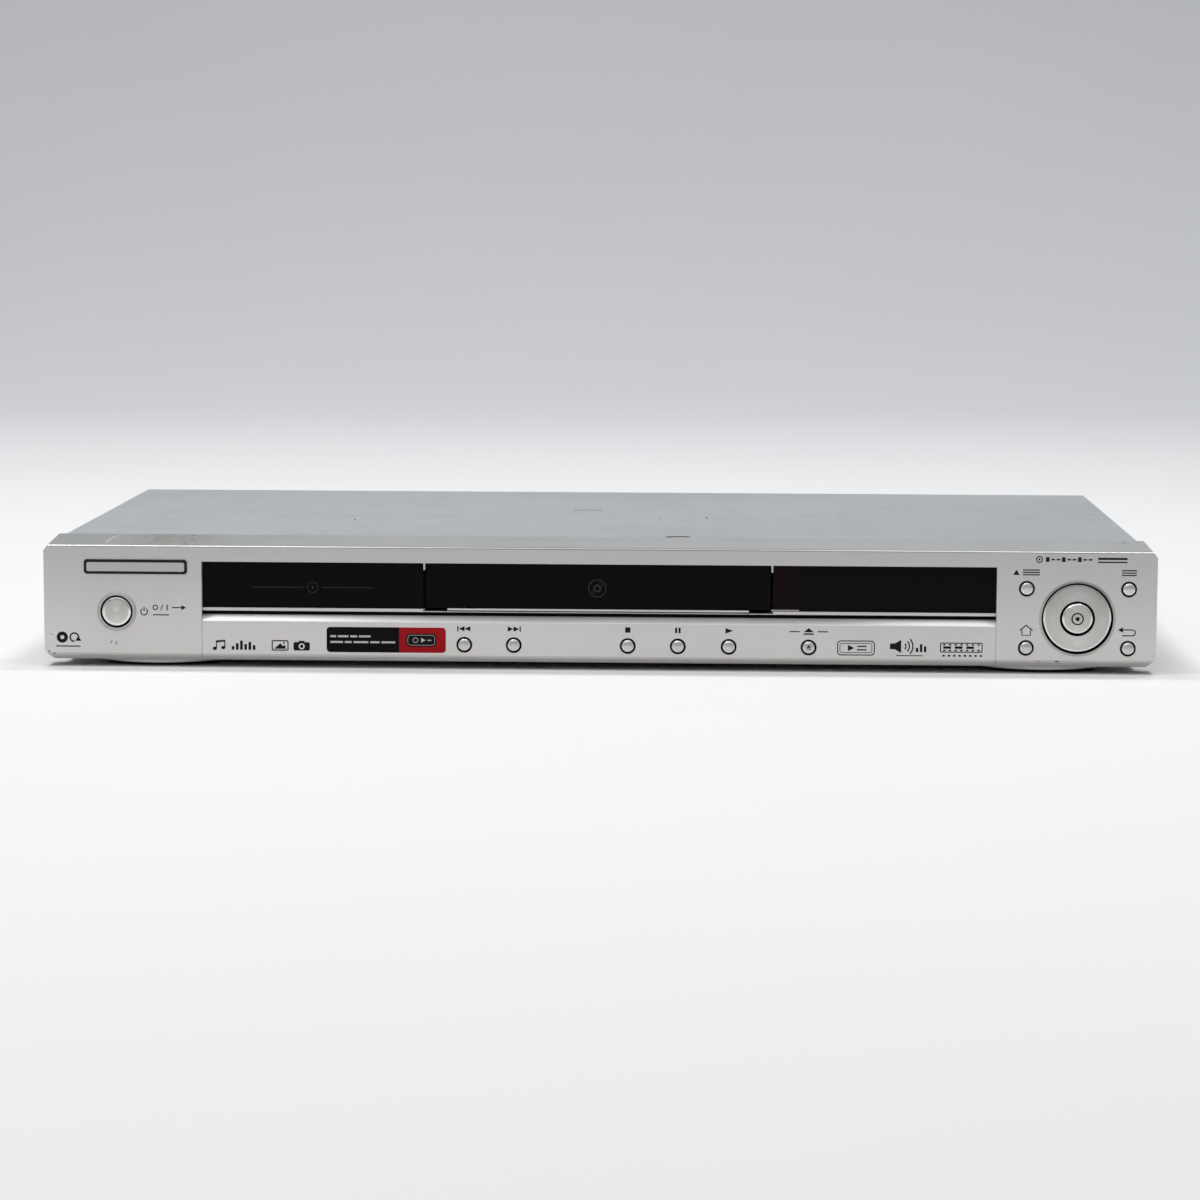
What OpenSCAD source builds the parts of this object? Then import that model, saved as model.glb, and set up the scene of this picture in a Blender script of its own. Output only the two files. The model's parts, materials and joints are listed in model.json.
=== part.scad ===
// Slim disc player with a motor-driven tray.
// Millimetres. X runs to the player's right, as seen from the front, Y to its back and Z up.
// The origin lies on the standing surface, under the middle of the player's bounding box.

/* [Case] */
// Width over the front panel
overall_w = 420; // [410:1:436]
// Height from the standing surface to the cover's top
overall_h = 49.5; // [49.5:0.5:60]
// Room between the loader and the back of the rear panel
rear_room = 17.7; // [16:0.1:50]
// How far the cover's sides stand in from the panel's ends
cover_inset = 5.8; // [5.5:0.1:7]
// Thickness of the sheet steel
sheet = 0.8; // [0.6:0.1:1.2]
// Outer radius of the cover's bends
bend_r = 1.6; // [1.3:0.1:3]
// Height of the panel's underside above the standing surface
foot_h = 2.8; // [2.4:0.1:6]
// Thickness of the panel's floor, which carries the chassis
panel_floor = 2; // [1.6:0.1:2.6]
// Clearance between pieces that are pushed or laid together
fit_gap = 0.2; // [0.1:0.05:0.3]

/* [Front panel] */
// Wall of the panel moulding
wall = 2.2; // [1.8:0.1:2.6]
// Depth of the sloping top strip
strip_d = 11.4; // [10:0.1:14]
// Rise of the top strip from front to back
strip_rise = 3; // [2:0.1:4]
// Width of the slanted upper corners
corner_w = 4.2; // [3:0.1:5]
// Height of the slanted upper corners
corner_h = 5.3; // [4:0.1:7]
// Width of the slanted lower corners
low_corner_w = 3.5; // [2:0.1:5]
// Height of the slanted lower corners
low_corner_h = 3; // [2:0.1:4]
// Setback of the panel's lower bevel
bevel_d = 1.6; // [1:0.1:2.4]
// Height of the panel's lower bevel
bevel_h = 1.8; // [1:0.1:2.4]

/* [Window band] */
// Width of each end block beside the window band
end_block_w = 60; // [59:1:66]
// Height of the band's sill above the standing surface
sill_z = 22.6; // [22:0.1:24]
// Height of the windows
window_h = 17.7; // [17:0.1:18.4]
// Setback of the windows' faces behind the front face
window_recess = 3.6; // [3.2:0.1:4]
// Thickness of the windows and of the tray door
window_t = 2; // [1.6:0.1:2.4]
// Thickness of the panel's wall behind the windows
back_wall = 2; // [1.6:0.1:2.4]
// Setback of the sill's lip
lip_recess = 2.5; // [2:0.1:3]
// Height of the sill's lip
lip_h = 1.2; // [0.9:0.1:1.4]
// Height of the dark groove under the sill
groove_h = 1.2; // [0.8:0.1:1.4]
// Setback of the shelf's upper edge
shelf_d = 3; // [2.4:0.1:3.4]
// Height of the sloping shelf
shelf_h = 2.4; // [2:0.1:3]
// Width of the red infrared window
ir_w = 9.7; // [8:0.1:12]
// Length of the blank badge on the top rail
badge_w = 39.2; // [30:0.1:42]
// Distance of the badge from the panel's end
badge_inset = 15.4; // [8:0.1:17]

/* [Keys] */
// Diameter of a small key
key_d = 5; // [4.6:0.1:5.2]
// Diameter of a small key's hole
key_hole_d = 6; // [5.8:0.1:6.4]
// How far a small key stands proud
key_proud = 0.9; // [0.7:0.1:1.1]
// Travel of every key
key_travel = 0.5; // [0.3:0.05:0.6]
// Diameter of the power key
power_d = 11.2; // [10:0.1:11.6]
// Diameter of the power key's hole
power_hole_d = 12.4; // [12.2:0.1:13]
// How far the power key stands proud
power_proud = 1.2; // [1.1:0.1:1.6]
// Outer diameter of the collar around the power key
collar_d = 15.2; // [14.8:0.1:17]
// How far the collar stands proud
collar_proud = 0.8; // [0.4:0.1:1]
// Diameter of the ring key
ring_d = 26.2; // [25:0.1:26.4]
// Diameter of the ring key's hole
ring_hole_d = 27; // [26.8:0.1:27.4]
// Diameter of the raised bezel around the ring key
bezel_d = 28.8; // [28.5:0.1:29.4]
// How far the bezel stands proud
bezel_proud = 0.4; // [0.2:0.1:0.6]
// Diameter of the enter key
enter_d = 12.2; // [11:0.1:12.4]
// Diameter of the hole in the ring key
ring_bore_d = 13.2; // [13:0.1:14]
// Distance of the power key from the panel's end
power_inset = 27.7; // [25:0.1:30]
// Height of the power key and of the ring key
dial_z = 21.1; // [20:0.1:22.5]
// How far the ring key stands outside the middle of its end block
ring_shift = 0.3; // [-0.4:0.1:1]
// Distance of the menu keys from the ends of the block
menu_margin = 10.9; // [10.4:0.1:11.4]
// Half the height of the four menu keys' rectangle
menu_dz = 11.2; // [10.8:0.1:12]
// Height of the transport keys
key_z = 9.4; // [9.2:0.1:11]
// Place of the previous key
previous_x = -50.4; // [-52:0.1:-49]
// Place of the next key
next_x = -31.7; // [-33:0.1:-30]
// Place of the stop key
stop_x = 11.4; // [10:0.1:13]
// Place of the pause key
pause_x = 30.3; // [29:0.1:32]
// Place of the play key
play_x = 49.5; // [48:0.1:51]
// Place of the open and close key
open_x = 79.6; // [78:0.1:84]

/* [Feet] */
// Distance of the front feet from the panel's ends
front_foot_inset = 42.1; // [38:0.1:60]
// Radius of a front foot's curved face
front_foot_r = 35; // [30:0.5:40]
// Setback of a front foot
front_foot_setback = 2.4; // [2:0.1:4]
// Depth of a front foot
front_foot_d = 22; // [18:0.5:26]
// Height of the rubber pad under a front foot
pad_h = 1.3; // [1:0.1:1.8]
// Diameter of a rear foot
rear_foot_d = 26; // [20:0.5:34]
// Distance of the rear feet from the case's sides
rear_foot_side = 50; // [38:1:70]
// Distance of the rear feet from the rear panel
rear_foot_inset = 20; // [18:0.5:40]

/* [Tray] */
// Width of the tray's door
door_w = 130.4; // [130:0.1:130.8]
// Gap around the door
door_gap = 0.3; // [0.2:0.05:0.4]
// Gap between the door's ends and the windows
door_side_gap = 1; // [0.8:0.1:1.2]
// Width of the silver lip under the door
door_lip_w = 114; // [100:1:126]
// Width of the tray
tray_w = 127; // [126:0.5:128]
// Thickness of the tray's deck
deck_t = 3; // [2.8:0.1:3.4]
// Height of the deck's underside above the sill
deck_lift = 7.4; // [7.4:0.1:8]
// Travel of the tray
tray_travel = 135; // [133:1:136]
// Diameter of the large disc well
well_d = 122; // [121:0.5:123]
// Depth of the large disc well
well_depth = 1.4; // [1.2:0.1:1.6]
// Diameter of the small disc well
small_well_d = 82; // [81:0.5:84]
// Depth of the small disc well below the large one
small_well_depth = 0.8; // [0.6:0.1:1]
// Width of the slot that clears the turntable and the pickup
slot_w = 40; // [38:0.5:42]
// Distance from the door's back to the disc's centre
disc_setback = 66.5; // [65.5:0.5:68]
// Distance from the disc's centre to the tray's back edge
tray_tail = 108; // [106:1:109]

/* [Tray drive] */
// Module of the rack and its gear
rack_module = 1; // [1:0.1:1]
// Teeth of the gear that drives the rack
rack_gear_teeth = 22; // [20:1:22]
// Module of the reduction gears
gear_module = 0.8; // [0.8:0.1:0.8]
// Teeth of the large reduction gear
wheel_teeth = 35; // [32:1:35]
// Teeth of the pinion
pinion_teeth = 14; // [14:1:15]
// Play between meshing teeth
backlash = 0.3; // [0.25:0.05:0.4]
// Diameter of the large belt pulley
pulley_d = 24; // [22:0.5:25]
// Diameter of the motor's belt pulley
motor_pulley_d = 8; // [7:0.5:9]
// Distance between the belt's pulleys
belt_span = 36; // [32:0.5:40]
// Thickness of the drive belt
belt_t = 1.2; // [1:0.1:1.4]
// Diameter of the gears' posts
post_d = 4; // [3:0.1:4.4]
// Running clearance on posts, pins and shafts, on the radius
run_gap = 0.06; // [0.04:0.01:0.09]
// Diameter of the loading motor
load_motor_d = 24; // [20:0.5:24.5]

/* [Disc drive] */
// Diameter of the turntable
turntable_d = 30; // [26:0.5:34]
// Diameter of the turntable's centring cone
hub_d = 14.8; // [14.4:0.1:14.9]
// Diameter of the spindle motor
spindle_motor_d = 25; // [22:0.5:27]
// Diameter of the clamper
clamper_d = 28; // [26:0.5:29]
// Travel of the pickup
pickup_travel = 34; // [32:0.5:35]
// Distance from the spindle to the lens with the pickup fully in
lens_inner_r = 24; // [24:0.5:25]
// Width of the pickup's body
pickup_w = 42; // [38:0.5:44]
// Diameter of the guide rods
rod_d = 3; // [2.5:0.1:3.2]
// Distance of the guide rods from the middle
rod_x = 26; // [25.5:0.1:27]
// Diameter of the lead screw
screw_d = 3; // [2.5:0.1:3.4]
// Distance of the lead screw from the middle
screw_x = 35; // [34:0.1:36]
// Diameter of the sled motor
sled_motor_d = 12.4; // [11:0.1:13]
// Drop of the cam pins when the traverse tilts down
cam_drop = 8; // [6:0.5:8]
// Travel of the cam slider
cam_travel = 16; // [14:0.5:16]
// Diameter of the cam pins
cam_pin_d = 3; // [2.6:0.1:3.4]
// Width of the traverse
traverse_w = 86; // [84:0.5:88]
// Room between the tray and the loader's outer sides
loader_side = 4.5; // [4:0.1:5.5]

/* [Rear sockets] */
// How far the phono sockets stand out of the rear panel
jack_proud = 8.5; // [7:0.1:9.5]
// Diameter of a phono socket's sleeve
jack_d = 8.3; // [8.3:0.1:8.3]
// Diameter of the boss around a phono socket's sleeve
jack_boss_d = 10; // [9.4:0.1:11]
// Distance between phono sockets
jack_pitch = 14; // [13:0.5:16]
// Width of the multi-pin audio and video socket
scart_w = 47; // [47:0.5:50]
// Width of the mains inlet
inlet_w = 24; // [23:0.5:26]
// Distance of the mains inlet from the case's side
inlet_margin = 13.2; // [12:0.1:24]

/* [Hidden] */
$fn = 48;
eps = 0.01;

// Depths: the front face, the windows' faces and the rear panel's outer face.
loader_overhang = 8;
case_d = window_recess + window_t + disc_setback + tray_tail + loader_overhang + rear_room;
overall_d = power_proud + case_d + jack_proud;
front_y = power_proud - overall_d / 2;
back_y = front_y + case_d;
win_y = front_y + window_recess;
seat_y = win_y + window_t;
inner_y = seat_y + back_wall;
strip_y = front_y + strip_d;

// Widths across the front and the loader.
loader_w = tray_w + 2 * loader_side;
cover_w = overall_w - 2 * cover_inset;
band_w = overall_w - 2 * end_block_w;
power_x = overall_w / 2 - power_inset;
ring_x = overall_w / 2 - end_block_w / 2 + ring_shift;
menu_dx = end_block_w / 2 - menu_margin;
front_foot_x = overall_w / 2 - front_foot_inset;
rear_foot_x = overall_w / 2 - rear_foot_side;

// Heights of the case.
chassis_z = foot_h + panel_floor;
floor_z = chassis_z + sheet;
front_top_z = overall_h - strip_rise;
face_low_z = foot_h + bevel_h;
band_top_z = sill_z + window_h;
lip_z = sill_z - lip_h;
shelf_top_z = lip_z - groove_h;
shelf_low_z = shelf_top_z - shelf_h;
cover_in = cover_w / 2 - sheet;
cover_under = overall_h - sheet;
flange_x = cover_in - fit_gap;

// Boards and what stands on them.
board_t = 1.6;
board_z = floor_z + 4.4;
board_top = board_z + board_t;
switch_body = 3.5;
plunger_h = 1;
key_board_y = front_y + 13;
plunger_y = key_board_y - switch_body - plunger_h;
stem_end_y = plunger_y - key_travel - 0.1;
nav_z = dial_z;
wing_y = key_board_y + board_t + 0.8;
power_board_x0 = -(flange_x - 6.2);
power_board_x1 = -(loader_w / 2 + 33);
power_board_y0 = front_y + 54.55;
main_board_x0 = loader_w / 2 + 16;
main_board_x1 = flange_x - 4.2;
main_board_y0 = front_y + 68.55;
board_y1 = back_y - sheet - 1.2;

// The tray and its door.
door_z0 = sill_z + door_gap;
door_z1 = band_top_z - door_gap;
door_opening_w = door_w + 2 * door_side_gap;
slide_opening_w = door_w + 1.4;
tray_y0 = seat_y;
disc_y = tray_y0 + disc_setback;
tray_y1 = disc_y + tray_tail;
deck_z = sill_z + deck_lift;
deck_top = deck_z + deck_t;
runner_h = 4;
runner_z = deck_z - runner_h;

// The loader's frame.
loader_y0 = front_y + 15;
loader_y1 = tray_y1 + loader_overhang;
loader_wall = 2;
loader_z = floor_z + 2.8;
loader_floor_z = loader_z + 2;
loader_top = deck_top + 4;
loader_in = loader_w / 2 - loader_wall;

// The tray's drive, on upright posts. The rack's pitch line is parallel to Y.
rack_r = rack_module * rack_gear_teeth / 2;
rack_pitch_x = -(tray_w / 2 - 8.5);
drive_x = rack_pitch_x + rack_r;
drive_setback = 15.6;
drive_y = loader_y0 + drive_setback;
pinion_x = drive_x + gear_module * (wheel_teeth + pinion_teeth) / 2;
motor_x = pinion_x + belt_span;
wheel_z = loader_floor_z + 6.6;
pulley_z = wheel_z + 4;
pulley_h = 3.5;

// The traverse, which hinges on a line at its back.
seat_z = deck_top + 0.5;
plate_t = 2;
plate_z = seat_z - 15.5;
plate_top = plate_z + plate_t;
rod_z = plate_top + 3;
traverse_y0 = disc_y - 17.5;
traverse_y1 = disc_y + 98.5;
tilt_y = disc_y + 96.5;
tilt_z = plate_z + plate_t / 2;
cam_pin_x = 20;
cam_pin_z = plate_z + 4;
cam_y0 = traverse_y0 - 6;
cam_t = 3;

// A box between two corners.
module box(x0, x1, y0, y1, z0, z1) {
    translate([x0, y0, z0]) cube([x1 - x0, y1 - y0, z1 - z0]);
}

// A box centred on the middle plane.
module slab(w, y0, y1, z0, z1) {
    box(-w / 2, w / 2, y0, y1, z0, z1);
}

// An upright post.
module post(x, y, z0, z1, d) {
    translate([x, y, z0]) cylinder(d = d, h = z1 - z0);
}

// A rod along Y.
module rod_y(x, z, y0, y1, d) {
    translate([x, y0, z]) rotate([-90, 0, 0]) cylinder(d = d, h = y1 - y0);
}

// A rod along X.
module rod_x(y, z, x0, x1, d) {
    translate([x0, y, z]) rotate([0, 90, 0]) cylinder(d = d, h = x1 - x0);
}

// A drawing in (y, z) pulled along X.
module along_x(x0, x1) {
    translate([x0, 0, 0]) rotate([90, 0, 90]) linear_extrude(x1 - x0) children();
}

// A drawing in (x, z) pulled along Y.
module along_y(y0, y1) {
    translate([0, y1, 0]) rotate([90, 0, 0]) linear_extrude(y1 - y0) children();
}

// The same thing on both sides of the player.
module both_sides() {
    children();
    mirror([1, 0, 0]) children();
}

// A rectangle with round corners.
module rounded(x0, x1, z0, z1, r) {
    translate([x0 + r, z0]) square([x1 - x0 - 2 * r, z1 - z0]);
    translate([x0, z0 + r]) square([x1 - x0, z1 - z0 - 2 * r]);
    for (x = [x0 + r, x1 - r], z = [z0 + r, z1 - r])
        translate([x, z]) circle(r);
}

// A pan-head screw with its head at the origin and its shank along -Z.
module pan_screw(head_d, head_h, shank_d, shank_l) {
    difference() {
        intersection() {
            cylinder(d = head_d, h = head_h);
            translate([0, 0, head_h - head_d * 0.75]) sphere(r = head_d * 0.75);
        }
        for (turn = [0, 90])
            rotate([0, 0, turn])
                translate([-head_d * 0.28, -0.35, head_h * 0.45]) cube([head_d * 0.56, 0.7, head_h]);
    }
    translate([0, 0, -shank_l]) cylinder(d = shank_d, h = shank_l + head_h * 0.3);
}

// Outline of the front: slanted upper corners and short slanted lower corners.
module front_outline() {
    w = overall_w / 2;
    polygon([
        [-w + low_corner_w, foot_h], [w - low_corner_w, foot_h], [w, foot_h + low_corner_h],
        [w, overall_h - corner_h], [w - corner_w, overall_h],
        [-w + corner_w, overall_h], [-w, overall_h - corner_h], [-w, foot_h + low_corner_h]
    ]);
}

// Section of the panel moulding, from its lower bevel over the face to the top strip.
module panel_section() {
    polygon([
        [front_y + bevel_d, foot_h], [front_y, face_low_z], [front_y, front_top_z - 0.5],
        [front_y + 0.5, front_top_z], [strip_y, overall_h], [strip_y, foot_h]
    ]);
}

// The hollow behind the panel's face.
module panel_hollow() {
    polygon([
        [front_y + wall, chassis_z], [front_y + wall, front_top_z - wall],
        [strip_y + 1, overall_h - wall], [strip_y + 1, chassis_z]
    ]);
}

// The four menu keys' places around the ring key.
menu_places = [
    [ring_x - menu_dx, nav_z + menu_dz], [ring_x + menu_dx, nav_z + menu_dz],
    [ring_x - menu_dx, nav_z - menu_dz], [ring_x + menu_dx, nav_z - menu_dz]
];
transport_x = [previous_x, next_x, stop_x, pause_x, play_x, open_x];

// Conical rim on the face around a key at (x, z), narrower at its top by lean all round.
module raised_rim(x, z, d, proud, lean) {
    rod_y(x, z, front_y - eps, front_y + 1, d);
    translate([x, front_y, z]) rotate([90, 0, 0]) cylinder(d1 = d, d2 = d - 2 * lean, h = proud);
}

// Silver main moulding: top strip, end blocks, window frame and the wall behind it.
module front_panel() color("silver") {
    band = band_w / 2;
    difference() {
        union() {
            intersection() {
                difference() {
                    along_x(-overall_w / 2, overall_w / 2) panel_section();
                    along_x(-overall_w / 2 + wall, overall_w / 2 - wall) panel_hollow();
                }
                along_y(front_y - 1, strip_y + 1) front_outline();
            }
            slab(band_w + 2 * wall, seat_y, inner_y, chassis_z - 1, band_top_z + wall);
            slab(band_w + 2 * wall, front_y + 1, inner_y, band_top_z, band_top_z + wall);
            both_sides() box(band, band + wall, front_y + 1, inner_y, chassis_z - 1, band_top_z + 1);
            raised_rim(-power_x, dial_z, collar_d, collar_proud, 0.9);
            raised_rim(ring_x, nav_z, bezel_d, bezel_proud, 0.5);
            for (x = [-power_x - 9.5, -power_x + 9.5], z = [dial_z - 10, dial_z + 10])
                rod_y(x, z, front_y + 1, key_board_y, 5);
            for (x = [ring_x - 22.5, ring_x + 20.5], z = [nav_z - 3, nav_z + 3])
                rod_y(x, z, front_y + 1, key_board_y, 3.6);
            // Bearings of the ring key's gimbal.
            for (s = [-1, 1])
                box(ring_x + s * gimbal_r - 0.7, ring_x + s * gimbal_r + 0.7,
                    front_y + 1, rock_y + 1.6, nav_z - 1.6, nav_z + 1.6);
            for (x = [previous_x - 9, stop_x - 9, play_x + 9, open_x + 9])
                rod_y(x, key_z + 4, inner_y - 1, key_board_y, 4);
        }
        // The window band and the lower strip's bay.
        slab(band_w, front_y - 1, seat_y, foot_h - 1, band_top_z);
        // The tray's way through.
        slab(slide_opening_w, front_y - 1, inner_y + 1, sill_z - 1, band_top_z);
        // The display's and the infrared eye's ways through.
        box(door_opening_w / 2 + ir_w + 4, band - 6, front_y, inner_y + 1, sill_z + 2, band_top_z - 2);
        box(door_opening_w / 2 + 1.5, door_opening_w / 2 + ir_w - 1, front_y, inner_y + 1,
            sill_z + 3, band_top_z - 3);
        // Bores of the power key, the ring key and the menu keys.
        rod_y(-power_x, dial_z, front_y - 2, front_y + wall + 2, power_hole_d);
        rod_y(ring_x, nav_z, front_y - 2, front_y + wall + 2, ring_hole_d);
        for (p = menu_places)
            rod_y(p[0], p[1], front_y - 2, front_y + wall + 1, key_hole_d);
        rod_x(rock_y, nav_z, ring_x - gimbal_r - 1, ring_x + gimbal_r + 1, gimbal_pin_d + 2 * run_gap);
        // Ways for the transport keys' stems.
        for (x = transport_x)
            rod_y(x, key_z, seat_y - 1, inner_y + 1, key_hole_d);
    }
    // Bright slivers in the upper corners of the door's gap.
    both_sides() box(door_w / 2 + 0.2, door_w / 2 + door_side_gap - 0.1,
                     win_y - 0.8, seat_y + 0.4, band_top_z - 2.9, band_top_z);
}

// Silver strip under the windows, with the sill's lip, the groove and the shelf.
module lower_strip() color("silver") {
    half = band_w / 2 - fit_gap / 2;
    door_half = door_opening_w / 2;
    back = seat_y - eps;
    difference() {
        along_x(-half, half) polygon([
            [front_y + bevel_d, foot_h], [front_y, face_low_z], [front_y, shelf_low_z],
            [front_y + shelf_d, shelf_top_z], [win_y + 0.8, shelf_top_z], [win_y + 0.8, lip_z],
            [front_y + lip_recess, lip_z], [front_y + lip_recess, sill_z], [back, sill_z],
            [back, sill_z - 2.6], [win_y + 0.8 + 0.9, sill_z - 2.6], [back, shelf_low_z - wall],
            [front_y + wall, shelf_low_z - wall], [front_y + wall, chassis_z],
            [back, chassis_z], [back, foot_h]
        ]);
        slab(2 * door_half, front_y, back + 1, sill_z - 0.9, sill_z + 1);
        for (x = transport_x)
            rod_y(x, key_z, front_y - 1, front_y + wall + 1, key_hole_d);
    }
}

// A window in the band, from x0 to x1.
module window(x0, x1) {
    along_y(win_y, seat_y) rounded(x0, x1, sill_z, band_top_z, 0.3);
}

module left_window() color([0.04, 0.04, 0.04]) window(-band_w / 2, -door_opening_w / 2);

module ir_window() color([0.16, 0.02, 0.03]) window(door_opening_w / 2, door_opening_w / 2 + ir_w);

module display_window() color([0.07, 0.04, 0.04]) window(door_opening_w / 2 + ir_w, band_w / 2);

// Blank badge at the left end of the top rail.
module badge_plate() color([0.12, 0.12, 0.13])
    along_y(front_y - 0.5, front_y) translate([-overall_w / 2 + badge_inset, 0])
        rounded(0, badge_w, band_top_z - 4.9, band_top_z + 0.6, 1.2);

// Bottom tray of the case: a plate with bent-up side flanges and front wings.
module chassis_base() color([0.72, 0.73, 0.74]) {
    y0 = front_y + 8;
    y1 = back_y - sheet;
    difference() {
        union() {
            slab(2 * flange_x, y0 + 3.6, y1, chassis_z, floor_z);
            slab(band_w, y0, y0 + 4, chassis_z, floor_z);
            both_sides() {
                box(flange_x - sheet, flange_x, wing_y, y1 - fit_gap, chassis_z, floor_z + 14);
                box(loader_w / 2 + 5, flange_x - 2, wing_y, wing_y + sheet, chassis_z, floor_z + 36);
            }
            for (p = loader_feet) post(p[0], p[1], chassis_z, loader_z, 8);
            for (p = concat(power_posts, main_posts)) post(p[0], p[1], chassis_z, board_z, 6);
        }
        for (p = loader_feet) post(p[0], p[1], chassis_z - 1, loader_z + 1, 2.6);
        for (p = concat(power_posts, main_posts)) post(p[0], p[1], chassis_z - 1, board_z + 1, 2.6);
        // Way for the front boards' flat cable.
        box(main_board_x0 + 18, main_board_x0 + 42, wing_y - 1, wing_y + 2, board_top + 2, board_top + 8);
        // Air slots under the power supply and the main board.
        for (x = [power_board_x0 + 47, main_board_x0 + 46], i = [0:7])
            box(x + 5 * i, x + 5 * i + 2, power_board_y0 + 22, power_board_y0 + 62,
                chassis_z - 1, floor_z + 1);
        both_sides() for (y = cover_screw_y)
            rod_x(y, cover_screw_z, flange_x - 2, flange_x + 1, 2.6);
    }
}

loader_feet = [for (x = [-1, 1], y = [loader_y0 + 6, loader_y1 - 6]) [x * (loader_w / 2 + 3), y]];
power_posts = [
    for (x = [power_board_x0 + 7, power_board_x1 - 7], y = [power_board_y0 + 7, board_y1 - 27.25]) [x, y]
];
main_posts = [
    for (x = [main_board_x0 + 8, main_board_x1 - 7], y = [main_board_y0 + 8, board_y1 - 17.25]) [x, y]
];
cover_screw_y = [strip_y + 35.15, back_y - 39.25];
cover_vent_y = back_y - 81.25;
cover_screw_z = floor_z + 9;

// A rectangle centred in x with only its upper corners round.
module arched(half, z0, z1, r) {
    rounded(-half, half, z0, z1, r);
    translate([-half, z0]) square([2 * half, 2 * r]);
}

// Folded steel cover over the top and both sides.
module top_cover() color([0.7, 0.71, 0.72]) {
    y0 = strip_y + fit_gap;
    difference() {
        along_y(y0, back_y) difference() {
            arched(cover_w / 2, chassis_z, overall_h, bend_r);
            rounded(-cover_in, cover_in, chassis_z - 5, cover_under, bend_r - sheet);
        }
        both_sides() {
            for (y = cover_screw_y)
                rod_x(y, cover_screw_z, cover_in - 1, cover_w / 2 + 1, 3.4);
            for (i = [0:9])
                box(cover_in - 1, cover_w / 2 + 1, cover_vent_y + 4 * i, cover_vent_y + 4 * i + 2,
                    floor_z + 20, floor_z + 34);
        }
    }
}

// Steel back wall with the socket openings and a short flange on the chassis.
module rear_panel() color([0.6, 0.61, 0.62]) {
    y0 = back_y - sheet;
    difference() {
        union() {
            along_y(y0, back_y) arched(flange_x, chassis_z, cover_under - fit_gap, bend_r);
            slab(2 * flange_x - 8, y0 - 8, y0 + eps, floor_z, floor_z + sheet);
        }
        for (p = jack_places) rod_y(p[0], p[1], y0 - 1, back_y + 1, jack_boss_d + 2 * fit_gap);
        along_y(y0 - 1, back_y + 1) {
            rounded(optical_x - 5.2, optical_x + 5.2, jack_z1 - 5.2, jack_z1 + 5.2, 1);
            rounded(scart_x - scart_w / 2 - fit_gap, scart_x + scart_w / 2 + fit_gap,
                    scart_z - 7, scart_z + 7, 2);
            rounded(-inlet_x - inlet_w / 2 - fit_gap, -inlet_x + inlet_w / 2 + fit_gap,
                    inlet_z - 8.2, inlet_z + 8.2, 2);
        }
        for (i = [0:11])
            box(power_board_x1 - 29 + 5 * i, power_board_x1 - 26.5 + 5 * i,
                y0 - 1, back_y + 1, floor_z + 8, floor_z + 34);
        for (p = rear_screw_places) rod_y(p[0], p[1], y0 - 1, back_y + 1, 3.2);
    }
}

// Places on the rear panel.
jack_boss_proud = 0.6;
jack_z0 = board_top + 7;
jack_z1 = jack_z0 + jack_pitch;
jack_x0 = flange_x - 7.2 - jack_pitch * 4;
jack_places = [
    for (i = [0:2], z = [jack_z0, jack_z1]) [jack_x0 + jack_pitch * i, z],
    [jack_x0 + jack_pitch * 3, jack_z0]
];
optical_x = jack_x0 + jack_pitch * 3;
socket_gap = 7.7;
scart_x = jack_x0 - 1.2 * jack_pitch - socket_gap - 8 - scart_w / 2;
scart_z = board_top + 11;
inlet_x = flange_x - inlet_margin - inlet_w / 2;
inlet_z = board_top + 9;
rear_screw_places = [
    [jack_x0 + jack_pitch * 3.7, jack_z0 + jack_pitch / 2],
    [jack_x0 - jack_pitch * 0.8, jack_z0 + jack_pitch / 2],
    [scart_x - scart_w / 2 - 4.5, scart_z], [scart_x + scart_w / 2 + 4.5, scart_z],
    [-inlet_x - inlet_w / 2 - 4, inlet_z], [-inlet_x + inlet_w / 2 + 4, inlet_z]
];

// Silver front feet: round-nosed shoes under the panel, stepped up to the chassis.
module front_feet() color("silver") both_sides() {
    centre_y = front_y + front_foot_setback + front_foot_r;
    nose = front_y + front_foot_setback - 1;
    intersection() {
        post(front_foot_x, centre_y, pad_h, chassis_z, 2 * front_foot_r);
        union() {
            box(front_foot_x - 40, front_foot_x + 40, nose, strip_y + fit_gap, pad_h, foot_h);
            box(front_foot_x - 22, front_foot_x + 22, strip_y + fit_gap, nose + front_foot_d,
                pad_h, chassis_z);
        }
    }
}

// Rubber pads under the front feet and round rubber feet at the back.
module rubber_feet() color([0.05, 0.05, 0.05]) both_sides() {
    centre_y = front_y + front_foot_setback + front_foot_r;
    intersection() {
        post(front_foot_x, centre_y, 0, pad_h, 2 * front_foot_r - 7);
        box(front_foot_x - 20, front_foot_x + 20, front_y, front_y + front_foot_d, 0, pad_h);
    }
    difference() {
        post(rear_foot_x, back_y - rear_foot_inset, 0, chassis_z, rear_foot_d);
        post(rear_foot_x, back_y - rear_foot_inset, -1, chassis_z / 2, 8);
    }
}

// Screws of the cover's sides and of the rear panel.
module cover_screws() color([0.15, 0.15, 0.16]) {
    both_sides() for (y = cover_screw_y)
        translate([cover_w / 2, y, cover_screw_z]) rotate([0, 90, 0]) pan_screw(6, 1.6, 2.5, 5);
    for (p = rear_screw_places)
        translate([p[0], back_y, p[1]]) rotate([-90, 0, 0]) pan_screw(5.4, 1.6, 2.9, 5);
}

// Screws that hold the loader and the boards to the chassis.
module chassis_screws() color([0.78, 0.78, 0.76]) {
    for (p = loader_feet) translate([p[0], p[1], loader_floor_z]) pan_screw(6, 1.6, 2.5, 5);
    for (p = concat(power_posts, main_posts)) translate([p[0], p[1], board_top]) pan_screw(5.4, 1.5, 2.5, 5);
}

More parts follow.
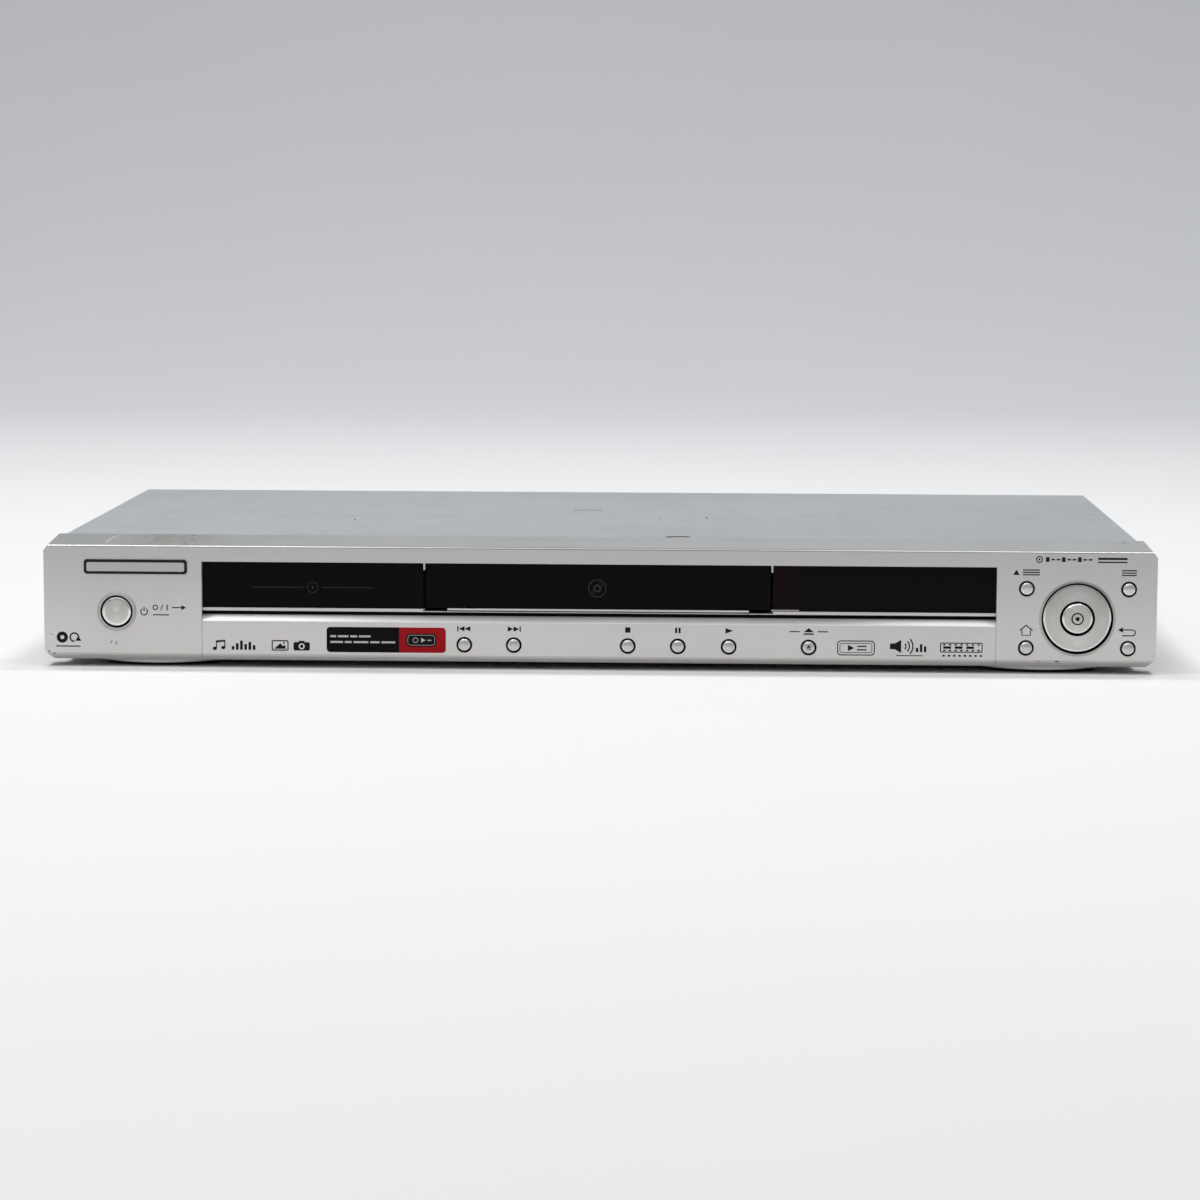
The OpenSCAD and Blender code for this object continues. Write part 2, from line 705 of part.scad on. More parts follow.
// A round key at (x, z): domed cap, retaining flange and stem.
module round_key(x, z, d, hole_d, proud, dome) {
    flange_y = front_y + wall + fit_gap;
    translate([x, front_y - proud, z]) rotate([-90, 0, 0]) {
        intersection() {
            cylinder(d = d, h = proud + wall + 1);
            translate([0, 0, dome]) sphere(r = dome, $fn = 96);
        }
    }
    rod_y(x, z, front_y, flange_y + 0.5, d);
    rod_y(x, z, flange_y, flange_y + 0.9, hole_d + 1.2);
    rod_y(x, z, flange_y, stem_end_y, 2.6);
}

module transport_key(x) color([0.82, 0.83, 0.84]) round_key(x, key_z, key_d, key_hole_d, key_proud, 5.5);

module menu_key(i) color([0.82, 0.83, 0.84])
    round_key(menu_places[i][0], menu_places[i][1], key_d, key_hole_d, key_proud, 5.5);

module power_button() color([0.8, 0.81, 0.82]) difference() {
    round_key(-power_x, dial_z, power_d, power_hole_d, power_proud, 26);
    translate([-power_x, front_y - power_proud - 3.6, dial_z]) sphere(r = 4);
}

module previous_button() transport_key(previous_x);

module next_button() transport_key(next_x);

module stop_button() transport_key(stop_x);

module pause_button() transport_key(pause_x);

module play_button() transport_key(play_x);

module open_close_button() transport_key(open_x);

module top_menu_button() menu_key(0);

module menu_button() menu_key(1);

module home_menu_button() menu_key(2);

module return_button() menu_key(3);

// The ring key rocks on a small gimbal: the carrier turns about X and the ring about Z.
ring_face_y = front_y - 0.7;
rock_y = front_y + 4.3;
carrier_d = ring_d - 2.4;
carrier_bore_d = enter_d + 5.2;
carrier_y0 = rock_y - 0.9;
carrier_y1 = rock_y + 0.9;
gimbal_r = ring_hole_d / 2 + 1.4;
gimbal_pin_d = 1.2;
lug_r = (carrier_d + carrier_bore_d) / 4;
stud_r = 7.5;

module nav_ring() color([0.8, 0.81, 0.82]) difference() {
    union() {
        translate([ring_x, ring_face_y, nav_z]) rotate([-90, 0, 0]) intersection() {
            cylinder(d = ring_d, h = wall + 1);
            translate([0, 0, 60]) sphere(r = 60, $fn = 240);
        }
        rod_y(ring_x, nav_z, ring_face_y + 1.5, rock_y - 1.5, ring_d);
        for (s = [-1, 1]) {
            box(ring_x - 1, ring_x + 1, rock_y - 2, rock_y + 0.9,
                nav_z + s * lug_r - 0.5, nav_z + s * lug_r + 0.5);
            post(ring_x, rock_y, nav_z + s * lug_r - 1.2, nav_z + s * lug_r + 1.2, 0.8);
        }
        for (turn = [0:90:270])
            rod_y(ring_x + stud_r * cos(turn), nav_z + stud_r * sin(turn), rock_y - 2, plunger_y - 0.5, 1.4);
    }
    rod_y(ring_x, nav_z, ring_face_y - 1, rock_y + 2, ring_bore_d);
}

module nav_carrier() color([0.2, 0.2, 0.22]) difference() {
    union() {
        rod_y(ring_x, nav_z, carrier_y0, carrier_y1, carrier_d);
        rod_x(rock_y, nav_z, ring_x - gimbal_r - 0.7, ring_x + gimbal_r + 0.7, gimbal_pin_d);
    }
    rod_y(ring_x, nav_z, carrier_y0 - 1, carrier_y1 + 1, carrier_bore_d);
    for (s = [-1, 1]) {
        box(ring_x - 1.6, ring_x + 1.6, carrier_y0 - 1, carrier_y1 + 1,
            nav_z + s * lug_r - 0.7, nav_z + s * lug_r + 0.7);
        post(ring_x, rock_y, nav_z + s * lug_r - 1.3, nav_z + s * lug_r + 1.3, 0.8 + 2 * run_gap);
    }
}

module enter_button() color([0.82, 0.83, 0.84]) {
    translate([ring_x, ring_face_y - 0.3, nav_z]) rotate([-90, 0, 0]) intersection() {
        cylinder(d = enter_d, h = wall + 1);
        translate([0, 0, 30]) sphere(r = 30, $fn = 160);
    }
    rod_y(ring_x, nav_z, ring_face_y + 1, rock_y + 1, enter_d);
    rod_y(ring_x, nav_z, rock_y, stem_end_y, 3);
}

// Upright board behind the transport keys and the display.
module display_board() color([0.1, 0.32, 0.18]) difference() {
    union() {
        box(previous_x - 14, band_w / 2 - 2, key_board_y, key_board_y + board_t,
            floor_z + 0.4, sill_z - 1.4);
        box(door_opening_w / 2 + 3, band_w / 2 - 2, key_board_y, key_board_y + board_t,
            floor_z + 0.4, band_top_z);
    }
    box(play_x + 14, play_x + 24, key_board_y - 1, key_board_y + 3, floor_z, floor_z + 3);
}

// Glass display tube on the display board.
module vfd_display() color([0.1, 0.14, 0.14]) {
    x0 = door_opening_w / 2 + ir_w;
    x1 = band_w / 2;
    box(x0 + 8, x1 - 10, key_board_y - 4.6, key_board_y, sill_z + 1.4, band_top_z - 1.6);
    box(x0 + 12, x1 - 14, key_board_y - 6, key_board_y - 4.6, sill_z + 2.4, band_top_z - 2.6);
}

module power_key_board() color([0.1, 0.32, 0.18])
    box(-power_x - 13, -power_x + 13, key_board_y, key_board_y + board_t, floor_z + 0.4, dial_z + 14);

module nav_key_board() color([0.1, 0.32, 0.18])
    box(ring_x - 26.5, cover_in - 0.4, key_board_y, key_board_y + board_t, floor_z + 0.4, nav_z + 17);

// A push switch on a board, under the key at (x, z).
module tact_switch(x, z) {
    along_y(key_board_y - switch_body, key_board_y) rounded(x - 3, x + 3, z - 3, z + 3, 0.6);
    rod_y(x, z, plunger_y, key_board_y - switch_body, 3.4);
}

module tact_switches() color([0.13, 0.13, 0.13]) {
    for (x = transport_x) tact_switch(x, key_z);
    for (p = menu_places) tact_switch(p[0], p[1]);
    tact_switch(-power_x, dial_z);
    tact_switch(ring_x, nav_z);
    for (turn = [0:90:270])
        tact_switch(ring_x + stud_r * cos(turn), nav_z + stud_r * sin(turn));
}

// A level board, drilled for its screws.
module level_board(x0, x1, y0, y1, posts) {
    difference() {
        box(x0, x1, y0, y1, board_z, board_top);
        for (p = posts) post(p[0], p[1], board_z - 1, board_top + 1, 2.9);
    }
}

module power_supply_board() color([0.72, 0.58, 0.36])
    level_board(power_board_x0, power_board_x1, power_board_y0, board_y1, power_posts);

module main_board() color([0.08, 0.3, 0.16])
    level_board(main_board_x0, main_board_x1, main_board_y0, board_y1, main_posts);

// What stands on a board is placed from the board's front corner.
module on_power_board() translate([power_board_x0, power_board_y0, board_top]) children();

module on_main_board() translate([main_board_x0, main_board_y0, board_top]) children();

module main_board_chips() color([0.08, 0.08, 0.09]) on_main_board() {
    box(42, 70, 30, 58, 0, 2.4);
    box(73, 83, 18, 40, 0, 1.6);
    box(24, 38, 22, 30, 0, 1.6);
    box(73, 83, 52, 64, 0, 2);
    for (i = [0:3]) box(12 + 9 * i, 18 + 9 * i, 72, 78, 0, 1.8);
}

// Mains transformer with its core and winding.
module transformer() color([0.85, 0.72, 0.2]) on_power_board() {
    box(41, 71, 44, 76, 0, 5);
    box(45, 67, 48, 72, 5, 20);
    box(41, 71, 44, 76, 20, 24);
}

// Capacitors: some are placed from the boards' front corners and some from their far edges.
module capacitors() color([0.1, 0.12, 0.25]) {
    power_board_w = power_board_x1 - power_board_x0;
    power_board_l = board_y1 - power_board_y0;
    main_board_w = main_board_x1 - main_board_x0;
    main_board_l = board_y1 - main_board_y0;
    on_power_board() {
        post(27, 58, 0, 26, 22);
        for (i = [0:2]) post(power_board_w - 11, power_board_l - 67.25 + 14 * i, 0, 18, 10);
    }
    on_main_board() {
        for (i = [0:3]) post(16 + 11 * i, main_board_l - 41.25, 0, 10, 6.3);
        for (y = [30, 44]) post(main_board_w - 6, y, 0, 11, 8);
    }
}

// Finned aluminium heat sink of the power supply.
module heat_sink() color([0.75, 0.76, 0.78]) on_power_board() {
    box(15, 55, 88, 90, 0, 24);
    for (i = [0:4]) box(15 + 9.5 * i, 17 + 9.5 * i, 90, 98, 0, 24);
}

// Bores for the rear panel's screws in what they hold.
module rear_screw_bores() {
    for (p = rear_screw_places) rod_y(p[0], p[1], back_y - 7, back_y, 3);
}

// Phono sockets in one block, with the optical socket beside them.
module av_jack_block() color([0.12, 0.12, 0.13]) {
    y0 = back_y - sheet;
    half = jack_pitch / 2;
    top = jack_z1 + half - 0.4;
    difference() {
        union() {
            box(jack_x0 - half, jack_x0 + 3.4 * jack_pitch, y0 - 10, y0, board_top, top);
            box(jack_x0 - 1.2 * jack_pitch, jack_x0 + 4.1 * jack_pitch, y0 - 3, y0, board_top, top);
            for (p = jack_places) {
                rod_y(p[0], p[1], y0 - 2, back_y + jack_boss_proud, jack_boss_d);
                rod_y(p[0], p[1], y0 - 2, back_y + jack_proud, jack_d);
            }
            along_y(y0 - 2, back_y + 1.6)
                rounded(optical_x - 5, optical_x + 5, jack_z1 - 5, jack_z1 + 5, 1);
        }
        for (p = jack_places) rod_y(p[0], p[1], y0 - 8, back_y + jack_proud + 1, 3.4);
        rear_screw_bores();
        along_y(back_y - 5, back_y + 2) rounded(optical_x - 3, optical_x + 3, jack_z1 - 3, jack_z1 + 3, 0.6);
    }
}

// Multi-pin audio and video socket: a block with a keyed groove around its contact bar.
module scart_socket() color([0.07, 0.07, 0.07]) {
    y0 = back_y - sheet;
    half = scart_w / 2;
    difference() {
        union() {
            along_y(y0 - 12, back_y + 2)
                rounded(scart_x - half, scart_x + half, scart_z - 6.8, scart_z + 6.8, 2);
            box(scart_x - half - 8, scart_x + half + 8, y0 - 12, y0, board_top, scart_z + 6.8);
        }
        rear_screw_bores();
        along_y(back_y - 9, back_y + 3) difference() {
            rounded(scart_x - half + 1.6, scart_x + half - 1.6, scart_z - 5.2, scart_z + 5.2, 1.2);
            rounded(scart_x - half + 4, scart_x + half - 4, scart_z - 2.8, scart_z + 2.8, 0.6);
        }
        for (i = [0:9], s = [-1, 1])
            box(scart_x - 18.6 + 3.9 * i + s, scart_x - 17.2 + 3.9 * i + s, back_y - 9, back_y + 3,
                scart_z + s * 1.3 - 0.5, scart_z + s * 1.3 + 0.5);
    }
}

// Two-pin mains inlet.
module ac_inlet() color([0.06, 0.06, 0.06]) {
    y0 = back_y - sheet;
    half = inlet_w / 2;
    difference() {
        union() {
            along_y(y0 - 16, back_y + 1.5)
                rounded(-inlet_x - half, -inlet_x + half, inlet_z - 8, inlet_z + 8, 2);
            box(-inlet_x - half - 7, -inlet_x + half + 7, y0 - 16, y0, board_top, inlet_z + 8);
        }
        rear_screw_bores();
        along_y(back_y - 12, back_y + 2)
            rounded(-inlet_x - 8.6, -inlet_x + 8.6, inlet_z - 4.4, inlet_z + 4.4, 4.3);
    }
    for (s = [-1, 1]) rod_y(-inlet_x + s * 4.3, inlet_z, back_y - 13, back_y - 3, 2.3);
}

// Flat cables from the main board to the loader and to the front boards.
module ribbon_cables() color([0.88, 0.88, 0.86]) {
    side = loader_w / 2 + 6;
    x0 = main_board_x0 + 20;
    x1 = x0 + 20;
    y0 = main_board_y0 + 12;
    behind = key_board_y + board_t;
    box(side, x0, y0, y0 + 16, board_top, board_top + 0.6);
    box(side, side + 0.6, y0, y0 + 16, floor_z, board_top);
    box(x0, x1, behind + 3, y0 - 2, board_top + 5, board_top + 5.6);
    box(x0, x1, y0 - 2, y0 - 1.4, board_top, board_top + 5.6);
    box(x0, x1, behind, behind + 3, board_top + 3.6, board_top + 7);
}

// Plastic frame of the loader: floor, side walls, tray ledges, gear posts and bearings.
module loader_frame() color([0.12, 0.12, 0.13]) {
    half = loader_w / 2;
    ledge = tray_w / 2 - 2.4;
    difference() {
        union() {
            slab(loader_w, loader_y0, loader_y1, loader_z, loader_floor_z);
            for (p = loader_feet) post(p[0], p[1], loader_z, loader_floor_z, 10);
            both_sides() {
                box(loader_in, half, loader_y0, loader_y1, loader_z, loader_top);
                box(ledge, loader_in + eps, loader_y0, loader_y1, runner_z - 2, runner_z - fit_gap);
                for (y = [loader_y0, loader_y1 - 20])
                    box(tray_w / 2 - 1, loader_in + eps, y, y + 12, deck_top + 1.8, deck_top + 3);
                box(traverse_w / 2 + 1.6, traverse_w / 2 + 5, tilt_y - 5, tilt_y + 5,
                    loader_floor_z - eps, tilt_z + 4);
            }
            for (s = [0, 1])
                slab(90, cam_y0 - 0.3 - 1.2 + s * (cam_t + 1.8), cam_y0 - 0.3 + s * (cam_t + 1.8),
                     loader_floor_z - eps, loader_floor_z + 1.4);
        }
        slab(traverse_w + 1, traverse_y0 - 1, traverse_y1 + 3, loader_z - 1, loader_floor_z + 2);
        both_sides() rod_x(tilt_y, tilt_z, traverse_w / 2, half, post_d + 2 * run_gap);
        for (p = loader_feet) post(p[0], p[1], loader_z - 1, loader_floor_z + 1, 3);
        both_sides() for (y = bridge_screw_y) post(loader_in + 1, y, loader_top - 6, loader_top + 1, 1.2);
    }
    post(drive_x, drive_y, loader_floor_z - eps, runner_z + 3.4, post_d);
    post(pinion_x, drive_y, loader_floor_z - eps, pulley_z + pulley_h + 0.8, post_d);
    post(drive_x, drive_y, loader_floor_z - eps, wheel_z - 0.3, post_d + 3);
    post(pinion_x, drive_y, loader_floor_z - eps, wheel_z - 0.3, post_d + 3);
}

bridge_screw_y = [disc_y - 12, disc_y + 12];

// Bridge over the tray that carries the clamper.
module clamp_bridge() color([0.75, 0.76, 0.77]) difference() {
    union() {
        slab(loader_w, disc_y - 20, disc_y + 20, loader_top, loader_top + 1.4);
        post(0, disc_y, loader_top, loader_top + 1.4, 54);
    }
    post(0, disc_y, loader_top - 1, loader_top + 3, clamper_d - 3);
    both_sides() for (y = bridge_screw_y) post(loader_in + 1, y, loader_top - 1, loader_top + 3, 1.6);
}

// Clamper: a puck that hangs in the bridge and presses the disc onto the turntable.
module clamper() color([0.14, 0.14, 0.15]) {
    low = seat_z + 1.4;
    neck_d = clamper_d - 4;
    difference() {
        union() {
            post(0, disc_y, low, loader_top - 0.6, clamper_d);
            post(0, disc_y, low, loader_top + 2, neck_d);
            post(0, disc_y, loader_top + 1.6, loader_top + 3.2, clamper_d);
        }
        post(0, disc_y, low - 1, low + 1.8, hub_d + 2);
    }
}

// Disc tray: deck with stepped wells, side rims, runners, a front wall and the rack.
module tray() color([0.1, 0.1, 0.11]) {
    half = tray_w / 2;
    rack_x0 = rack_pitch_x - rack_module - 2.4;
    wall_y = tray_y0 + window_t;
    difference() {
        union() {
            slab(tray_w, wall_y - eps, tray_y1, deck_z, deck_top);
            slab(tray_w - 3, tray_y0, wall_y, sill_z + 0.9, deck_top + 2);
            slab(door_lip_w - 2, tray_y0, wall_y, sill_z - 0.2, sill_z + 1);
            both_sides() {
                box(half - 1.4, half, wall_y, tray_y1, deck_z, deck_top + 1.5);
                box(half - 2, half, wall_y, tray_y1, runner_z, deck_z + 1);
            }
        }
        post(0, disc_y, deck_top - well_depth, deck_top + 2, well_d);
        post(0, disc_y, deck_top - well_depth - small_well_depth, deck_top, small_well_d);
        post(0, disc_y, deck_z - 1, deck_top, slot_w);
        slab(slot_w, disc_y, tray_y1 + 1, deck_z - 1, deck_top + 2);
    }
    translate([rack_pitch_x, 0, runner_z]) linear_extrude(runner_h + 1) rack_outline(rack_x0 - rack_pitch_x);
}

// Glossy black front of the tray.
module tray_door() color([0.04, 0.04, 0.04])
    along_y(win_y, seat_y) rounded(-door_w / 2, door_w / 2, door_z0, door_z1, 0.4);

// Silver lip along the door's lower edge.
module tray_door_lip() color("silver")
    slab(door_lip_w, front_y + lip_recess, seat_y, sill_z - 0.6, door_z0);

// Involute helpers: a point on the involute of a base circle, and the flank's angle at a radius.
function involute_deg(a) = tan(a) * 180 / PI - a;
function flank_deg(r, rb) = r <= rb ? 0 : involute_deg(acos(rb / r));
function polar(r, a) = [r * cos(a), r * sin(a)];

// Outline of a spur gear with a tooth centred on +X.
module gear_outline(teeth, m, play) {
    r = m * teeth / 2;
    rb = r * cos(20);
    root = r - 1.3 * m;
    tip = r + 0.95 * m;
    start = max(root + 0.15 * m, rb);
    half = 90 / teeth - play / 2 / r * 90 / PI + flank_deg(r, rb);
    steps = 5;
    polygon([
        for (i = [0:teeth - 1], side = [-1, 1], k = [0:steps + 1])
            let (
                mid = i * 360 / teeth,
                j = side < 0 ? k - 1 : steps - k,
                rk = j < 0 ? root : start + (tip - start) * j / steps
            )
            polar(rk, mid + side * (half - flank_deg(max(rk, rb), rb)))
    ]);
}

// Outline of the rack, with a gap centred on the drive gear and its back at x0.
module rack_outline(x0) {
    pitch = PI * rack_module;
    count = floor((tray_travel + 14) / pitch);
    tip = rack_module * 0.95;
    root = rack_module * 1.3;
    half = pitch / 4 - backlash / 4;
    slope = tan(20);
    start = drive_y - 2 * pitch - pitch / 2;
    end = start + (count + 0.5) * pitch;
    polygon(concat(
        [[x0, start - pitch / 2]],
        [[-root, start - pitch / 2]],
        [for (i = [0:count], p = [
            [-root, -half - root * slope], [tip, -half + tip * slope],
            [tip, half - tip * slope], [-root, half + root * slope]])
            [p[0], start + i * pitch + p[1]]],
        [[-root, end]],
        [[x0, end]]
    ));
}

// Compound gear: the upper gear drives the tray's rack, the lower wheel takes the pinion.
module drive_gear() color([0.9, 0.9, 0.86]) translate([drive_x, drive_y, 0]) difference() {
    union() {
        translate([0, 0, wheel_z]) linear_extrude(3) gear_outline(wheel_teeth, gear_module, backlash);
        post(0, 0, wheel_z, runner_z + 3.4, 9);
        translate([0, 0, runner_z]) linear_extrude(3.4) rotate(180 / rack_gear_teeth * (rack_gear_teeth % 2))
            gear_outline(rack_gear_teeth, rack_module, backlash);
    }
    post(0, 0, wheel_z - 1, runner_z + 5, post_d + 2 * run_gap);
}

// Belt pulley with the pinion under it.
module pulley_gear() color([0.85, 0.85, 0.8]) translate([pinion_x, drive_y, 0]) difference() {
    union() {
        translate([0, 0, wheel_z - 0.2]) linear_extrude(pulley_z - wheel_z + 0.3)
            rotate(180 + 180 / pinion_teeth) gear_outline(pinion_teeth, gear_module, backlash);
        grooved_pulley(pulley_d);
    }
    post(0, 0, wheel_z - 1, pulley_z + pulley_h + 1, post_d + 2 * run_gap);
}

// A pulley with a square belt groove.
module grooved_pulley(d) {
    difference() {
        post(0, 0, pulley_z, pulley_z + pulley_h, d);
        difference() {
            post(0, 0, pulley_z + 0.8, pulley_z + pulley_h - 0.8, d + 1);
            post(0, 0, pulley_z, pulley_z + pulley_h, d - 2 * belt_t);
        }
    }
}

module motor_pulley() color([0.85, 0.7, 0.3]) translate([motor_x, drive_y, 0]) difference() {
    grooved_pulley(motor_pulley_d);
    post(0, 0, pulley_z - 1, pulley_z + pulley_h + 1, 2 + 2 * run_gap);
}

// Rubber belt around both pulleys, with a little play in the grooves.
module drive_belt() color([0.06, 0.06, 0.06]) {
    r1 = pulley_d / 2 - belt_t + run_gap;
    r2 = motor_pulley_d / 2 - belt_t + run_gap;
    lean = acos((r1 - r2) / belt_span);
    translate([pinion_x, drive_y, pulley_z + 1.1]) linear_extrude(pulley_h - 2.2) difference() {
        belt_shape(r1 + belt_t, r2 + belt_t, lean);
        belt_shape(r1, r2, lean);
    }
}

// Area inside a belt around two wheels whose outer tangents leave at the angle lean.
module belt_shape(r1, r2, lean) {
    circle(r1, $fn = 96);
    translate([belt_span, 0]) circle(r2, $fn = 96);
    polygon([
        polar(r1, lean), polar(r1, -lean),
        [belt_span, 0] + polar(r2, -lean), [belt_span, 0] + polar(r2, lean)
    ]);
}

// Loading motor, standing on the loader's floor.
module loading_motor() color([0.7, 0.71, 0.73]) {
    post(motor_x, drive_y, loader_floor_z, pulley_z - 0.8, load_motor_d);
    post(motor_x, drive_y, pulley_z - 0.8, pulley_z - 0.3, 6);
    post(motor_x, drive_y, pulley_z - 0.8, pulley_z + pulley_h + 0.5, 2);
}

// Traverse: the plate that carries the disc motor and the pickup, and tilts on its trunnions.
module traverse_chassis() color([0.68, 0.69, 0.7]) {
    half = traverse_w / 2;
    difference() {
        union() {
            box(-half, half, traverse_y0, traverse_y1, plate_z, plate_top);
            for (x = [-rod_x, rod_x], y = [rod_y0, rod_y1])
                box(x - 3, x + 3, y - 2.5, y + 2.5, plate_z, rod_z + 3);
            box(screw_x - 3, screw_x + 3, rod_y1 - 2.5, rod_y1 + 2.5, plate_z, rod_z + 3);
            box(screw_x - 5, screw_x + 5, sled_y1, sled_y1 + 1.4, plate_z, rod_z + 4);
            both_sides() {
                rod_x(tilt_y, tilt_z, half - 1, half + 4.4, post_d);
                box(cam_pin_x - 3, cam_pin_x + 3, traverse_y0, traverse_y0 + 2.4, plate_z, cam_pin_z + 3);
                rod_y(cam_pin_x, cam_pin_z, cam_y0 - 0.6, traverse_y0 + 1, cam_pin_d);
            }
        }
        // The pickup's window.
        slab(pickup_w + 1, disc_y + 14, rod_y1 - 3, plate_z - 1, plate_top + 1);
        for (x = [-rod_x, rod_x]) rod_y(x, rod_z, rod_y0 - 4, rod_y1 + 4, rod_d + 2 * run_gap);
        rod_y(screw_x, rod_z, sled_y1 - 1, rod_y1 + 4, screw_d + 2 * run_gap);
        // Notch for the sled motor.
        box(screw_x - sled_motor_d / 2 - 0.5, half + 1, sled_y0 - 0.5, sled_y1, plate_z - 1, plate_top + 1);
    }
}

rod_y0 = disc_y + 18;
rod_y1 = disc_y + lens_inner_r + pickup_travel + 22;
sled_y0 = disc_y + 2;
sled_y1 = sled_y0 + 13;

// Disc motor under the turntable and the small motor of the pickup's lead screw.
module traverse_motors() color([0.62, 0.63, 0.66]) {
    post(0, disc_y, plate_top, seat_z - 3.2, spindle_motor_d);
    post(0, disc_y, seat_z - 3.2, seat_z + 1, 2);
    rod_y(screw_x, rod_z, sled_y0, sled_y1, sled_motor_d);
}

module turntable() color([0.15, 0.15, 0.16]) translate([0, disc_y, 0]) difference() {
    union() {
        post(0, 0, seat_z - 2.6, seat_z, turntable_d);
        post(0, 0, seat_z, seat_z + 0.8, hub_d);
        translate([0, 0, seat_z + 0.8]) cylinder(d1 = hub_d, d2 = hub_d - 3, h = 1.4);
    }
    post(0, 0, seat_z - 4, seat_z + 1.2, 2 + 2 * run_gap);
}

// Optical pickup on its sled.
module pickup() color([0.2, 0.2, 0.22]) {
    lens_y = disc_y + lens_inner_r;
    y0 = lens_y - 6;
    y1 = lens_y + 17;
    difference() {
        union() {
            slab(pickup_w, y0, y1, plate_z + 0.8, rod_z + 4);
            slab(2 * rod_x + 7, lens_y - 2, lens_y + 13, rod_z - 2.6, rod_z + 2.6);
            box(rod_x, screw_x + 2, lens_y + 5, lens_y + 11, rod_z + screw_d / 2 + 0.1, rod_z + 3);
            box(rod_x, rod_x + 3, lens_y + 5, lens_y + 11, rod_z - 2, rod_z + 3);
        }
        for (x = [-rod_x, rod_x]) rod_y(x, rod_z, y0 - 1, y1 + 1, rod_d + 2 * run_gap);
    }
    post(0, lens_y, rod_z + 4, rod_z + 4.8, 14);
    post(0, lens_y, rod_z + 4.8, rod_z + 5.6, 6);
}

module guide_rods() color([0.82, 0.83, 0.85])
    for (x = [-rod_x, rod_x]) rod_y(x, rod_z, rod_y0 - 3, rod_y1 + 3, rod_d);

module lead_screw() color([0.75, 0.72, 0.6])
    rod_y(screw_x, rod_z, sled_y1 + 0.1, rod_y1 + 3, screw_d);

// Slider with two inclined slots that lift and lower the traverse's cam pins.
module cam_slider() color([0.88, 0.88, 0.84]) {
    slot = cam_pin_d + 0.6;
    length = sqrt(cam_travel * cam_travel + cam_drop * cam_drop);
    low = loader_floor_z + 0.3;
    along_y(cam_y0, cam_y0 + cam_t) difference() {
        translate([-cam_pin_x - cam_travel - 4, low])
            square([2 * cam_pin_x + cam_travel + 8, cam_pin_z + slot / 2 + 2 - low]);
        for (x = [-cam_pin_x, cam_pin_x]) {
            translate([x, cam_pin_z]) circle(d = slot);
            translate([x - cam_travel, cam_pin_z - cam_drop]) circle(d = slot);
            translate([x, cam_pin_z]) rotate(180 + atan2(cam_drop, cam_travel))
                translate([0, -slot / 2]) square([length, slot]);
        }
    }
}

chassis_base();
rear_panel();
top_cover();
front_panel();
lower_strip();
left_window();
display_window();
ir_window();
badge_plate();
front_feet();
rubber_feet();
cover_screws();
chassis_screws();
power_button();
previous_button();
next_button();
stop_button();
pause_button();
play_button();
open_close_button();
top_menu_button();
menu_button();
home_menu_button();
return_button();
nav_carrier();
nav_ring();
enter_button();
display_board();
vfd_display();
power_key_board();
nav_key_board();
tact_switches();
main_board();
main_board_chips();
power_supply_board();
transformer();
capacitors();
heat_sink();
av_jack_block();
scart_socket();
ac_inlet();
ribbon_cables();
loader_frame();
clamp_bridge();
clamper();
tray();
tray_door();
tray_door_lip();
traverse_chassis();
traverse_motors();
turntable();
pickup();
guide_rods();
lead_screw();
loading_motor();
motor_pulley();
drive_belt();
pulley_gear();
drive_gear();
cam_slider();
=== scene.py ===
"""Looks of a slim silver disc player with a motor-driven tray."""
import math
import bpy
from mathutils import Matrix, Vector
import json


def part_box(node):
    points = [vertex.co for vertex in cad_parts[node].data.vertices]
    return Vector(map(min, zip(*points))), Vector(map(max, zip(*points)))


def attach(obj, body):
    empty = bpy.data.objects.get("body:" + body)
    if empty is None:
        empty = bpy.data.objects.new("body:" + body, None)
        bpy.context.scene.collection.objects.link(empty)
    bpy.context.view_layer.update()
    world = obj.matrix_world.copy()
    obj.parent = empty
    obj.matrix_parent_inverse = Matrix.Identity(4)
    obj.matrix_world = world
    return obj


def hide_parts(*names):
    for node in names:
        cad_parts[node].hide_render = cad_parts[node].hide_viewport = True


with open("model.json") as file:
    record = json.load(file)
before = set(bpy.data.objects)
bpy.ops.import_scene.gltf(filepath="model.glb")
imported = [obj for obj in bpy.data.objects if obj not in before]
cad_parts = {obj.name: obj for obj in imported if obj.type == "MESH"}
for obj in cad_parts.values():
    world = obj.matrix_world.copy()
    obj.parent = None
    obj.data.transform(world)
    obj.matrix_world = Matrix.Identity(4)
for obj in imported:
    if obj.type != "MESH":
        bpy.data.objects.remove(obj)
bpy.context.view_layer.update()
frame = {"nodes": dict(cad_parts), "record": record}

# ---------------------------------------------------------------- studio
# A pale card that curves up from table to wall. Two ceiling lamps in front of the player, two behind it
# and a wide, dim and warmer one far in front light it. The camera stands 1.4 m in front of its middle.
MM = 0.001
scene = bpy.context.scene
scene.view_settings.view_transform = "Standard"
bpy.ops.object.select_all(action="DESELECT")


def camera_turn(pitch, yaw, roll):
    """Rotation of a camera that looks along +Y, dips by pitch, turns by yaw and rolls, in degrees."""
    pitch, yaw, roll = (math.radians(a) for a in (pitch, yaw, roll))
    ahead = Vector((math.sin(yaw) * math.cos(pitch), math.cos(yaw) * math.cos(pitch), -math.sin(pitch)))
    right = Vector((math.cos(yaw), -math.sin(yaw), 0))
    up = right.cross(ahead)
    side = right * math.cos(roll) + up * math.sin(roll)
    top = up * math.cos(roll) - right * math.sin(roll)
    return Matrix((side, top, -ahead)).transposed().to_euler()


